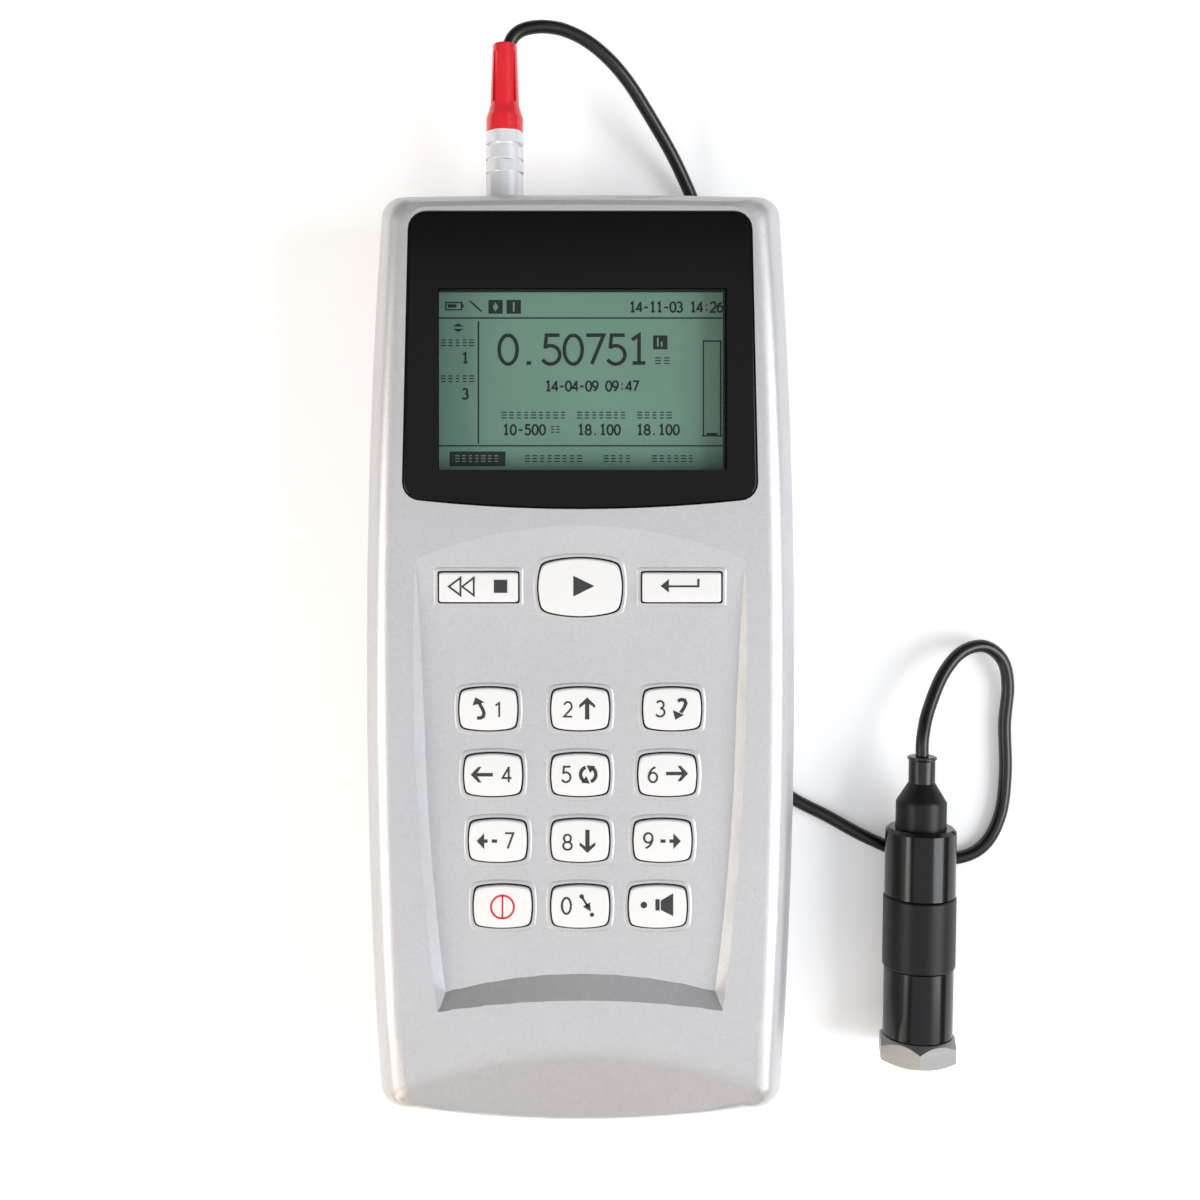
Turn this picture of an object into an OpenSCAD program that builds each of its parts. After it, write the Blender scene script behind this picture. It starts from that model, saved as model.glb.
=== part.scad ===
// Handheld vibration meter lying on its back, with its lead and its contact sensor.
// Millimetres, +Z up, +Y towards the connector end of the case. The origin is on the
// table, at the middle of the space that the case and the sensor take up together.

/* [Case] */
// Greatest width of the case, at its middle
case_w = 78.5; // [74:0.5:90]
// Length of the case between its two ends
case_l = 168; // [160:1:190]
// Thickness of the case from back to front face
case_t = 28; // [27:0.5:34]
// How much narrower each side is at the ends than at the middle
side_bow = 3; // [1:0.25:5]
// How far the middle of the top end stands out past its corners
top_bow = 0.6; // [0.2:0.1:2]
// How far the middle of the bottom end stands out past its corners
bottom_bow = 4.6; // [1:0.1:7]
// Radius of the corners in plan
corner_r = 3.6; // [2.5:0.1:6]
// How far the front edges round over in from the sides
front_round = 6.2; // [4:0.1:7]
// How far the front edges round over in from the two ends
front_end_round = 3.4; // [2:0.1:4]
// How far the back edges round over in from the sides
back_round = 5; // [3:0.1:7]
// Thickness of the moulded walls
wall = 2; // [1.6:0.1:2.6]
// Thickness of the back wall
back_wall = 2.6; // [2.4:0.1:3.4]
// Thickness of the front wall at the window
front_wall = 3.8; // [3.6:0.1:5]
// Height of the parting line above the back
seam_h = 13.5; // [12:0.5:16]
// Thickness of the seal in the parting line
seal_t = 0.6; // [0.4:0.1:1]

/* [Window and display] */
// Width of the window at its lower edge
window_w = 62.8; // [58:0.2:66]
// How much narrower the window is at its upper edge
window_taper = 2; // [0:0.2:4]
// Height of the window from the middle of its lower edge to its upper edge
window_l = 52.6; // [48:0.2:60]
// Distance of the window's upper edge from the top end of the case
window_gap = 4.4; // [4:0.1:6]
// Thickness of the window
window_t = 1.6; // [1.2:0.1:1.8]
// How far the lower edge of the window bows down in the middle
window_bow = 1.5; // [0.5:0.1:3]
// Corner radius of the window
window_r = 3.2; // [2:0.1:5]
// Distance of the middle of the display from the top end of the case
view_down = 34.1; // [32:0.1:37]
// Width of the display module
lcd_w = 55; // [50:0.5:58]
// Length of the display module
lcd_l = 40; // [36:0.5:44]
// Width of the module's border at each side of the visible part
side_border = 1.9; // [1.6:0.1:4]
// Width of the module's border above and below the visible part
end_border = 3.95; // [2:0.05:6]
// Thickness of the display module with its frame
lcd_t = 3.4; // [3:0.1:3.5]

/* [Keypad recess] */
// Depth of the keypad recess
dish_depth = 2.2; // [1.4:0.1:2.4]
// Radius of the curved edge where the recess starts below the window
dish_r = 74.3; // [60:0.1:100]
// Distance of the middle of that edge from the top end of the case
dish_down = 60; // [59:0.1:63]
// Radius inside which the bottom of the recess is level
dish_level_r = 45; // [40:1:52]
// Greatest width of the recess across its bevelled sides
recess_w = 59; // [56:0.2:62]
// How far each bevelled side draws in towards the bottom
recess_draw = 4.4; // [2:0.1:6]
// Distance of the level bottom's lower edge from the bottom end of the case
recess_up = 28.2; // [26:0.1:30]
// Width of the bevel along the sides of the recess
side_bevel = 1.6; // [1:0.1:2.4]
// Width of the bevel at the middle of the recess's lower edge
end_bevel = 4.1; // [2:0.1:5]
// Width of that bevel at its corners
corner_bevel = 2.6; // [1.5:0.1:4]

/* [Chin] */
// Radius of the curved edge where the bottom of the face starts to fall away
chin_r = 86.6; // [70:0.1:120]
// Distance of the middle of that edge from the bottom end of the case
chin_up = 17.4; // [14:0.1:20]
// Slope of the chin in degrees
chin_slope = 15; // [8:1:18]
// Length over which the face bends into the chin
chin_blend = 4; // [2:0.5:6]

/* [Keys] */
// Width of a number key
key_w = 10.8; // [9.6:0.1:11.4]
// Height of a number key
key_l = 8.1; // [7:0.1:8.8]
// Distance between rows of number keys
key_pitch = 11.7; // [11.3:0.1:12.5]
// Distance from the middle key to a side key in the lowest row
key_spread = 13.8; // [13.7:0.1:14.5]
// How much farther out the side keys are in each row above
key_fan = 0.85; // [0:0.05:1]
// Distance of the highest row of number keys below the function keys
number_drop = 21.7; // [10:0.1:23]
// How far the left and right sides of a number key bow out
key_side_bow = 0.4; // [0.1:0.05:0.6]
// How far the upper and lower sides of a number key bow out
key_end_bow = 0.5; // [0.1:0.05:0.8]
// Corner radius of a number key and of the middle function key
key_corner_r = 0.8; // [0.5:0.1:1.4]
// Width of the two narrow function keys
function_w = 14.5; // [12:0.1:15]
// Height of the two narrow function keys
function_l = 5.8; // [5:0.1:7]
// Distance of a narrow function key from the middle key
function_spread = 18; // [17.9:0.1:18.5]
// Width of the middle function key
play_w = 15.3; // [12:0.1:15.6]
// Height of the middle function key
play_l = 10.8; // [8:0.1:11]
// How far the left and right sides of the middle function key bow out
play_side_bow = 0.7; // [0.1:0.05:1]
// How far the upper and lower sides of the middle function key bow out
play_end_bow = 1; // [0.1:0.05:1.4]
// Corner radius of a narrow function key
function_corner_r = 0.5; // [0.4:0.1:1]
// Distance of the function keys from the top end of the case
function_down = 70.9; // [70:0.1:72.5]
// How far a number key stands out of the recess
key_proud = 0.9; // [0.6:0.1:1.4]
// Depth that a key travels when it is pressed
key_travel = 0.8; // [0.4:0.1:1]
// Open gap round each key
key_gap = 0.3; // [0.2:0.05:0.5]
// Width of the flange that holds a key in
key_flange = 1.1; // [0.8:0.1:1.3]
// Rounding of a key's upper edge
key_soft = 0.35; // [0.2:0.05:0.5]

/* [Power and boards] */
// Diameter of a battery cell
cell_d = 14.2; // [13.6:0.1:14.4]
// Length of a battery cell without its tip
cell_l = 49.2; // [44:0.2:50]
// Width of the battery door
door_w = 36; // [34:0.5:38]
// Length of the battery door
door_l = 71; // [70:0.5:75]
// Thickness of the battery door
door_t = 1.5; // [1.3:0.1:1.7]
// How far the battery door slides
door_travel = 12; // [6:1:20]
// Thickness of the main circuit board
board_t = 1.6; // [1:0.1:1.7]
// Thickness of the rubber keypad sheet
mat_t = 1; // [0.6:0.1:1.1]

/* [Feet] */
// Height of the case's back above the table
foot_h = 3.2; // [3:0.1:5]
// Diameter of a rubber foot
foot_d = 9; // [7:0.5:10]

/* [Plug and socket] */
// Distance of the socket to the left of the case's middle line
socket_left = 14.2; // [8:0.2:18]
// Outer diameter of the plug
plug_d = 7; // [6.4:0.1:8]
// Diameter of the plug's nose in the socket
nose_d = 5; // [4:0.1:5.2]
// Length of the plug's nose in the socket
nose_l = 7; // [5:0.5:8]
// Diameter of the socket's collar outside the case
collar_d = 8.6; // [8.2:0.1:10]
// Thickness of the socket's collar
collar_t = 0.8; // [0.6:0.1:1.5]
// Length of the plug's release sleeve
sleeve_l = 9.2; // [8:0.1:11]
// How far the release sleeve slides back
sleeve_travel = 0.7; // [0.3:0.1:0.9]
// Length of the clamping nut behind the sleeve
nut_l = 2.2; // [1.8:0.1:3]
// Length of the plug's boot
boot_l = 16.4; // [12:0.1:20]
// Diameter of the boot's far end
boot_tip_d = 4.3; // [4:0.1:5.5]

/* [Lead] */
// Diameter of the lead
lead_d = 2.5; // [2:0.1:2.6]

/* [Sensor] */
// Diameter of the upper barrel
upper_d = 13.4; // [12:0.1:13.6]
// Length of the upper barrel
upper_l = 13.1; // [11:0.1:16]
// Diameter of the middle sleeve
middle_d = 13.8; // [12.4:0.1:14]
// Length of the middle sleeve
middle_l = 13.5; // [11:0.1:16]
// Diameter of the lower barrel
lower_d = 13.2; // [12:0.1:13.6]
// Length of the lower barrel
lower_l = 13.4; // [12:0.1:16]
// Width of the hexagonal base across its flats
base_af = 14; // [14:0.1:17]
// Height of the hexagonal base
base_h = 4.6; // [4:0.1:7]
// Diameter of the cable gland's neck
neck_d = 9.6; // [8:0.1:10.5]
// Length of the cable gland's neck
neck_l = 4.9; // [3:0.1:6]
// Length of the cable gland's cone
cone_l = 3.7; // [2:0.1:5]
// Diameter of the ferrule round the lead
ferrule_d = 5; // [4.4:0.1:6]
// Length of the ferrule
ferrule_l = 5; // [4:0.1:7]
// Drilled diameter of the threaded hole in the base
thread_d = 4.2; // [3.3:0.1:5]
// Depth of the threaded hole
thread_l = 6; // [5:0.1:7]

/* [Hidden] */

// Overrun of every cut past the face that it opens
over = 0.5;
// Gap between fixed pieces that fit in each other
fit = 0.1;
// Gap between a moving piece and its guide
run = 0.06;
// Half the case's width and length
half_w = case_w / 2;
half_l = case_l / 2;
// Exponent of the curves that the case's edges follow
edge_power = 2.5;
// Levels in the rounding of an edge
edge_steps = 7;
// Points along each side, each end and each corner of the case's outline
side_steps = 12;
end_steps = 12;
corner_steps = 4;
// How far the rounded rim stands above the face before the face is cut level
rim_over = 0.03;
// Radius that a corner keeps at the inner face of the wall
inner_corner_r = corner_r - wall / 2;
// Inside of the front wall, above the case's back
ceiling = case_t - front_wall;

// Centres of the two round edges on the face
dish_y = half_l - dish_down - dish_r;
chin_y = -half_l + chin_up - chin_r;

// Visible part of the display
view_w = lcd_w - 2 * side_border;
view_l = lcd_l - 2 * end_border;
view_y = half_l - view_down;

// Levels of the pieces under the keys, down from the front wall
key_flange_t = 1;
key_flange_top = ceiling - fit;
pad_t = 0.6;
pad_gap = 0.1;
mat_top = key_flange_top - key_flange_t - key_travel - pad_gap - pad_t;
board_top = mat_top - mat_t;
board_end_gap = 7;
board_bottom_gap = 16;
board_side_gap = 0.6;

// Battery bay
bay_wall = 1.2;
bay_roof = 1;
contact_t = 0.5;
spring_l = 2.4;
tip_d = 5.5;
tip_l = 1;
cell_gap = 0.4;
bay_l = cell_l + tip_l + spring_l + 2 * contact_t + 2 * fit;
bay_w = 2 * cell_d + 3 * cell_gap;
bay_end = 12.5;
bay_y = -half_l + bay_end + bay_l / 2;
cell_h = board_top - board_t - fit - bay_roof - fit - cell_d / 2;
bay_top = cell_h + cell_d / 2 + fit;
tongue_w = 0.9;
tongue_t = 0.5;
tongue_h = 0.6;

// Screws and their bosses
case_screw_side_in = 8.75;
case_screw_top_in = 10.5;
case_screw_bottom_in = 12.5;
case_screw_x = half_w - case_screw_side_in;
case_screw_top_y = half_l - case_screw_top_in;
case_screw_bottom_y = -half_l + case_screw_bottom_in;
case_boss_r = 2.8;
case_screw_r = 1.25;
case_head_r = 2.3;
case_head_t = 1.6;
case_head_depth = 4;
case_screw_l = 17.6;
case_screw_top = case_head_depth - case_head_t + case_screw_l;
board_boss_r = 2.1;
display_boss_gap = 2.6;
dish_boss_gap = 0.6;
low_boss_up = 26;
board_w = 2 * (case_screw_x - case_boss_r - board_side_gap);
board_screw_x = board_w / 2 - board_boss_r;
board_screw_ys = [view_y + lcd_l / 2 + display_boss_gap + board_boss_r,
    half_l - dish_down - dish_boss_gap, -half_l + low_boss_up];
board_screw_r = 0.9;
board_head_r = 1.8;
board_head_t = 1.3;
board_screw_l = 2.8;

// Feet
foot_pocket = 0.5;
foot_top_x = 20;
foot_bottom_x = 27;
foot_top_in = 14;
foot_bottom_in = 27;
foot_top_y = half_l - foot_top_in;
foot_bottom_y = -half_l + foot_bottom_in;
foot_soft = 0.6;

// Socket and plug, along the case's length
socket_h = seam_h + seal_t / 2;
socket_r = 3.5;
socket_back = 12;
socket_face = half_l + collar_t;
panel_gap = 0.15;
hex_r = 5.2;
hex_t = 2;
sleeve_start = socket_face + fit;
sleeve_end = sleeve_start + sleeve_l;
plug_gap = sleeve_travel + fit;
nut_start = sleeve_end + plug_gap;
nut_end = nut_start + nut_l;
boot_end = nut_end + boot_l;
groove_w = 0.4;
groove_depth = 0.35;
band_l = 2.1;
core_r = 2.6;
nose_bore_r = 1.8;
nose_bore_l = 4;
flat_share = 0.94;
hex_band_turn = 13;
boot_bulge_l = 2.6;
boot_neck_l = 5;
boot_neck_d = 5.4;
boot_wall_gap = 0.05;
boot_slot_w = 0.9;
boot_slot_depth = 0.3;

// Sensor, from its base up along its own axis
hex_corner_r = base_af / 2 / cos(30);
hex_turn = 22;
lean = 2.3;
yaw = -0.5;
barrel_wall = 1.5;
lower_top = base_h + lower_l;
middle_top = lower_top + middle_l;
upper_top = middle_top + upper_l;
neck_top = upper_top + neck_l;
cone_top = neck_top + cone_l;
ferrule_top = cone_top + ferrule_l;
sensor_x = 64.4;
sensor_y = -78;
sensor_z = hex_corner_r * cos(30 - hex_turn);
spigot_l = 4.4;
spigot_r = lower_d / 2 - barrel_wall - fit;
stud_r = 1.5;
ring_r = 4;
ring_t = 1.5;
ring_gap = 0.05;
ring_start = base_h + spigot_l;
mass_start = ring_start + 2 * ring_t + 2 * ring_gap;
mass_r = 4.8;
mass_l = 7;
preload_t = 2.2;
preload_r = 3.2;
seam_groove = 0.25;
seam_depth = 0.2;
screw_in = 3;
rim_soft = 0.6;
lip_t = 0.8;
lip_over = 0.3;

// The case's middle, placed so that the origin is the middle of case and sensor together
reach_right = sensor_x + hex_corner_r * cos(hex_turn);
case_x = -(reach_right - half_w) / 2;
case_y = -collar_t / 2;

function sqr(v) = v * v;

// Outline of the case in plan, drawn in by d_side at the sides and by d_top and d_end at its ends
function side_at(y, d) = half_w - d - side_bow * sqr(y / half_l);
function top_at(x, d) = half_l - d - top_bow * sqr(x / half_w);
function end_at(x, d) = -half_l + d + bottom_bow * sqr(x / half_w);
function outline(d_side, d_top, d_end, r) =
    let(top_x = side_at(half_l, d_side) - r,
        end_x = side_at(half_l, d_side) - r,
        top_y = top_at(top_x, d_top) - r,
        end_y = end_at(end_x, d_end) + r)
    concat(
        [for (i = [0:side_steps]) let(y = end_y + (top_y - end_y) * i / side_steps)
            [side_at(y, d_side), y]],
        [for (i = [1:corner_steps]) let(a = 90 * i / (corner_steps + 1))
            [side_at(top_y, d_side) - r + r * cos(a), top_y + r * sin(a)]],
        [for (i = [0:end_steps]) let(x = top_x * (1 - 2 * i / end_steps)) [x, top_at(x, d_top)]],
        [for (i = [1:corner_steps]) let(a = 90 + 90 * i / (corner_steps + 1))
            [-side_at(top_y, d_side) + r + r * cos(a), top_y + r * sin(a)]],
        [for (i = [0:side_steps]) let(y = top_y - (top_y - end_y) * i / side_steps)
            [-side_at(y, d_side), y]],
        [for (i = [1:corner_steps]) let(a = 180 + 90 * i / (corner_steps + 1))
            [-side_at(end_y, d_side) + r + r * cos(a), end_y + r * sin(a)]],
        [for (i = [0:end_steps]) let(x = -end_x * (1 - 2 * i / end_steps)) [x, end_at(x, d_end)]],
        [for (i = [1:corner_steps]) let(a = 270 + 90 * i / (corner_steps + 1))
            [side_at(end_y, d_side) - r + r * cos(a), end_y + r * sin(a)]]);

// Height that the face has lost to the chin at a point
function chin_fall(u) = u <= 0 ? 0
    : u < chin_blend ? sqr(u) / (2 * chin_blend) * tan(chin_slope)
    : (u - chin_blend / 2) * tan(chin_slope);
function face_at(p) = case_t - chin_fall(chin_r - norm([p[0], p[1] - chin_y]));

// Shares of the rounding's height and width at angle a of its curve
function rise_share(a) = pow(sin(a), 2 / edge_power);
function inset_share(a) = 1 - pow(max(cos(a), 0), 2 / edge_power);

// Stack of rings with as many points each, closed at both ends
module loft(rings) {
    n = len(rings[0]);
    m = len(rings);
    points = [for (ring = rings) for (p = ring) p];
    sides = [for (k = [0:m - 2]) for (i = [0:n - 1]) let(j = (i + 1) % n)
        each [[k * n + i, (k + 1) * n + i, (k + 1) * n + j], [k * n + i, (k + 1) * n + j, k * n + j]]];
    bottom = [[for (i = [0:n - 1]) i]];
    top = [[for (i = [n - 1:-1:0]) (m - 1) * n + i]];
    polyhedron(points, concat(bottom, sides, top));
}

// One row for each key: name, place, width, height, bows of its sides and corner radius
play_y = half_l - function_down;
row_y = play_y - number_drop - 3 * key_pitch;
number_bow = [key_side_bow, key_end_bow];
play_bow = [play_side_bow, play_end_bow];
function number_place(column, row) =
    [column * (key_spread + key_fan * row), row_y + key_pitch * row];
KEYS = [
    ["key_rewind_stop", [-function_spread, play_y], function_w, function_l, [0, 0], function_corner_r],
    ["key_play", [0, play_y], play_w, play_l, play_bow, key_corner_r],
    ["key_enter", [function_spread, play_y], function_w, function_l, [0, 0], function_corner_r],
    ["key_1", number_place(-1, 3), key_w, key_l, number_bow, key_corner_r],
    ["key_2", number_place(0, 3), key_w, key_l, number_bow, key_corner_r],
    ["key_3", number_place(1, 3), key_w, key_l, number_bow, key_corner_r],
    ["key_4", number_place(-1, 2), key_w, key_l, number_bow, key_corner_r],
    ["key_5", number_place(0, 2), key_w, key_l, number_bow, key_corner_r],
    ["key_6", number_place(1, 2), key_w, key_l, number_bow, key_corner_r],
    ["key_7", number_place(-1, 1), key_w, key_l, number_bow, key_corner_r],
    ["key_8", number_place(0, 1), key_w, key_l, number_bow, key_corner_r],
    ["key_9", number_place(1, 1), key_w, key_l, number_bow, key_corner_r],
    ["key_power", number_place(-1, 0), key_w, key_l, number_bow, key_corner_r],
    ["key_0", number_place(0, 0), key_w, key_l, number_bow, key_corner_r],
    ["key_sound", number_place(1, 0), key_w, key_l, number_bow, key_corner_r]];

// Outline of a key, grown by g: round corners, and sides that bow out in the middle
key_steps = 6;
key_corner_steps = 3;
function key_corner(middle, r, start) = [for (i = [0:key_corner_steps])
    let(a = start + 90 * i / key_corner_steps) middle + r * [cos(a), sin(a)]];
function key_outline(key, g) =
    let(bow = key[4], r = key[5] + g, x = key[2] / 2 + g - bow[0], y = key[3] / 2 + g - bow[1],
        n = bow[0] > 0 ? key_steps : 1, spots = [for (i = [1:1:n - 1]) 2 * i / n - 1],
        straight = concat(
            [for (s = spots) [x, (y - r) * s]], key_corner([x - r, y - r], r, 0),
            [for (s = spots) [(r - x) * s, y]], key_corner([r - x, y - r], r, 90),
            [for (s = spots) [-x, (r - y) * s]], key_corner([r - x, r - y], r, 180),
            [for (s = spots) [(x - r) * s, -y]], key_corner([x - r, r - y], r, 270)))
    [for (p = straight) [p[0] + sign(p[0]) * bow[0] * (1 - sqr(p[1] / y)),
        p[1] + sign(p[1]) * bow[1] * (1 - sqr(p[0] / x))]];

// Depth of the recess at distance r from the middle of its round edge
function dish_at(r) = r <= dish_level_r ? dish_depth
    : dish_depth * (1 - sqr((r - dish_level_r) / (dish_r - dish_level_r)));
function key_top(key) = case_t - dish_at(norm(key[1] - [0, dish_y])) + key_proud;

module in_case() {
    translate([case_x, case_y, foot_h]) children();
}

// Case

module front_form() {
    levels = [for (k = [0:edge_steps]) 90 * k / edge_steps];
    base = seam_h + seal_t;
    rim = outline(front_round, front_end_round, front_end_round, corner_r);
    heights = [for (p = rim) face_at(p) + rim_over - base];
    rings = [for (a = levels)
        let(flat = outline(front_round * inset_share(a), front_end_round * inset_share(a),
            front_end_round * inset_share(a), corner_r))
        [for (i = [0:len(flat) - 1]) [flat[i][0], flat[i][1], base + heights[i] * rise_share(a)]]];
    loft(concat(rings, [[for (p = rim) [p[0], p[1], case_t + over]]]));
}

module front_cavity() {
    base = seam_h + seal_t;
    rows = [0, 1, 2, 3];
    rings = [for (k = rows) let(h = (ceiling - base) * k / 3, a = asin(pow(h / (case_t - base), edge_power / 2)))
        [for (p = outline(wall + front_round * inset_share(a), wall + front_end_round * inset_share(a),
            wall + front_end_round * inset_share(a), inner_corner_r)) [p[0], p[1], base + h]]];
    below = [for (p = rings[0]) [p[0], p[1], base - over]];
    loft(concat([below], rings));
}

module rear_form() {
    levels = [for (k = [edge_steps:-1:0]) 90 * k / edge_steps];
    rings = [for (a = levels) [for (p = outline(back_round * inset_share(a),
        back_round / 2 * inset_share(a), back_round / 2 * inset_share(a), corner_r))
        [p[0], p[1], seam_h * (1 - rise_share(a))]]];
    loft(rings);
}

module rear_cavity() {
    rows = [0, 1, 2, 3];
    rings = [for (k = rows) let(h = (seam_h - back_wall) * (1 - k / 3), a = asin(pow(h / seam_h, edge_power / 2)))
        [for (p = outline(wall + back_round * inset_share(a), wall + back_round / 2 * inset_share(a),
            wall + back_round / 2 * inset_share(a), inner_corner_r)) [p[0], p[1], seam_h - h]]];
    above = [for (p = rings[3]) [p[0], p[1], seam_h + over]];
    loft(concat(rings, [above]));
}

// Space over the chin
module chin_cut() {
    steps = 4;
    span = chin_up + bottom_bow + over;
    bend = [for (k = [0:steps]) chin_blend * k / steps];
    curve = [for (u = concat(bend, [span])) [chin_r - u, case_t - chin_fall(u)]];
    translate([0, chin_y, 0]) rotate_extrude($fn = 180)
        polygon(concat(curve, [[chin_r - span, case_t + 2 * over], [chin_r, case_t + 2 * over]]));
}

// Space over the keypad, with its dished bottom and its bevelled sides
module dish_cut() {
    steps = 8;
    span = dish_r - dish_level_r;
    curve = [for (k = [0:steps]) let(r = dish_level_r + span * k / steps) [r, case_t - dish_at(r)]];
    intersection() {
        translate([0, dish_y, 0]) rotate_extrude($fn = 180)
            polygon(concat([[0, case_t - dish_depth]], curve,
                [[dish_r, case_t + over], [0, case_t + over]]));
        recess_block();
    }
}
recess_steps = 14;
recess_end_y = -half_l + recess_up;
recess_top_y = half_l - dish_down + over;
recess_low_y = recess_end_y - end_bevel - corner_bevel;
// Half the width of the recess at y, at depth share s: 0 at the face and 1 at its bottom
function recess_x(y, s) = recess_w / 2 - side_bevel * s - recess_draw * sqr(y / recess_low_y);
// Lower edge of the recess at x: its bow is deeper at the bottom than at the face
recess_corner_x = recess_x(recess_end_y, 1);
floor_bow = 3.3;
function recess_y(x, s) =
    let(mid = recess_end_y - end_bevel * (1 - s), corner = recess_end_y - floor_bow - corner_bevel * (1 - s))
    mid - (mid - corner) * sqr(x / recess_corner_x);
past_share = 1.3;
above_share = -0.3;
module recess_block() {
    ys = [for (k = [0:recess_steps]) recess_low_y + (recess_top_y - recess_low_y) * k / recess_steps];
    xs = [for (k = [0:recess_steps]) half_w * (2 * k / recess_steps - 1)];
    n = recess_steps;
    intersection() {
        loft([for (s = [past_share, above_share]) concat(
            [for (k = [0:n]) [recess_x(ys[k], s), ys[k], case_t - dish_depth * s]],
            [for (k = [n:-1:0]) [-recess_x(ys[k], s), ys[k], case_t - dish_depth * s]])]);
        loft([for (s = [past_share, above_share]) concat(
            [for (x = xs) [x, recess_y(x, s), case_t - dish_depth * s]],
            [[half_w, half_l, case_t - dish_depth * s], [-half_w, half_l, case_t - dish_depth * s]])]);
    }
}

// Outline of the window, grown by g
window_top_y = half_l - window_gap;
window_steps = 10;
function window_outline(g) =
    let(top_x = (window_w - window_taper) / 2 - window_r,
        end_x = window_w / 2 - window_r,
        top_y = window_top_y - window_r,
        end_y = window_top_y - window_l + window_bow + window_r,
        r = window_r + g)
    concat(
        [for (i = [0:corner_steps + 1]) let(a = 90 * i / (corner_steps + 1))
            [top_x + r * cos(a), top_y + r * sin(a)]],
        [for (i = [0:corner_steps + 1]) let(a = 90 + 90 * i / (corner_steps + 1))
            [-top_x + r * cos(a), top_y + r * sin(a)]],
        [for (i = [0:corner_steps + 1]) let(a = 180 + 90 * i / (corner_steps + 1))
            [-end_x + r * cos(a), end_y + r * sin(a)]],
        [for (i = [1:window_steps - 1]) let(s = 2 * i / window_steps - 1)
            [end_x * s, end_y - r - window_bow * (1 - sqr(s))]],
        [for (i = [0:corner_steps + 1]) let(a = 270 + 90 * i / (corner_steps + 1))
            [end_x + r * cos(a), end_y + r * sin(a)]]);

gasket_t = 0.3;
module display_window() {
    color("black") in_case() translate([0, 0, case_t - window_t])
        linear_extrude(window_t) polygon(window_outline(0));
}

module view_block(grow, low, high) {
    translate([-view_w / 2 - grow, view_y - view_l / 2 - grow, low])
        cube([view_w + 2 * grow, view_l + 2 * grow, high - low]);
}

module window_gasket() {
    color("dimgray") in_case() difference() {
        translate([0, 0, case_t - window_t - gasket_t])
            linear_extrude(gasket_t) polygon(window_outline(0));
        view_block(fit, ceiling, case_t);
    }
}

module key_hole(key) {
    depth = case_t - ceiling + 2 * over;
    translate([key[1][0], key[1][1], ceiling - over]) linear_extrude(depth)
        polygon(key_outline(key, key_gap));
}

module socket_hole() {
    translate([-socket_left, half_l + over, socket_h]) rotate([90, 0, 0])
        cylinder(h = socket_back, r = socket_r + panel_gap, $fn = 48);
}

case_screw_places = [for (x = [-case_screw_x, case_screw_x]) for (y = [case_screw_top_y, case_screw_bottom_y]) [x, y]];
board_screw_places = [for (x = [-board_screw_x, board_screw_x]) for (y = board_screw_ys) [x, y]];

module front_shell() {
    color("silver") in_case() difference() {
        union() {
            difference() {
                front_form();
                front_cavity();
            }
            for (p = case_screw_places) translate([p[0], p[1], seam_h + seal_t])
                cylinder(h = ceiling - seam_h, r = case_boss_r, $fn = 32);
            for (p = board_screw_places) translate([p[0], p[1], board_top])
                cylinder(h = ceiling + over - board_top, r = board_boss_r, $fn = 32);
        }
        translate([-case_w, -case_l, case_t]) cube([2 * case_w, 2 * case_l, 2 * over]);
        chin_cut();
        dish_cut();
        translate([0, 0, case_t - window_t - gasket_t])
            linear_extrude(window_t + over) polygon(window_outline(fit));
        view_block(fit, ceiling - over, case_t);
        for (key = KEYS) key_hole(key);
        socket_hole();
        for (p = case_screw_places) translate([p[0], p[1], seam_h])
            cylinder(h = case_screw_top + fit - seam_h, r = case_screw_r + run, $fn = 24);
        for (p = board_screw_places) translate([p[0], p[1], board_top - over])
            cylinder(h = board_screw_l + fit + over, r = board_screw_r + run, $fn = 24);
    }
}

// Slot that the battery door slides in, with a groove along each side
module door_slot(gap) {
    length = door_l + over;
    translate([-door_w / 2 - gap, -half_l - over, -over])
        cube([door_w + 2 * gap, length + gap, door_t + over + gap]);
    translate([-door_w / 2 - tongue_w - gap, -half_l - over, tongue_h - gap])
        cube([door_w + 2 * tongue_w + 2 * gap, length + gap, tongue_t + 2 * gap]);
}

foot_places = [[-foot_top_x, foot_top_y], [foot_top_x, foot_top_y],
    [-foot_bottom_x, foot_bottom_y], [foot_bottom_x, foot_bottom_y]];
input_post_r = 1.6;
input_h = 6;
input_w = 36;
input_l = 20;
input_x = 4;
input_in = 32;
input_y = half_l - input_in;
input_t = 1.2;
input_places = [for (x = [-1, 1]) for (y = [-1, 1])
    [input_x + x * (input_w / 2 - 2 * input_post_r), input_y + y * (input_l / 2 - 2 * input_post_r)]];

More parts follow.
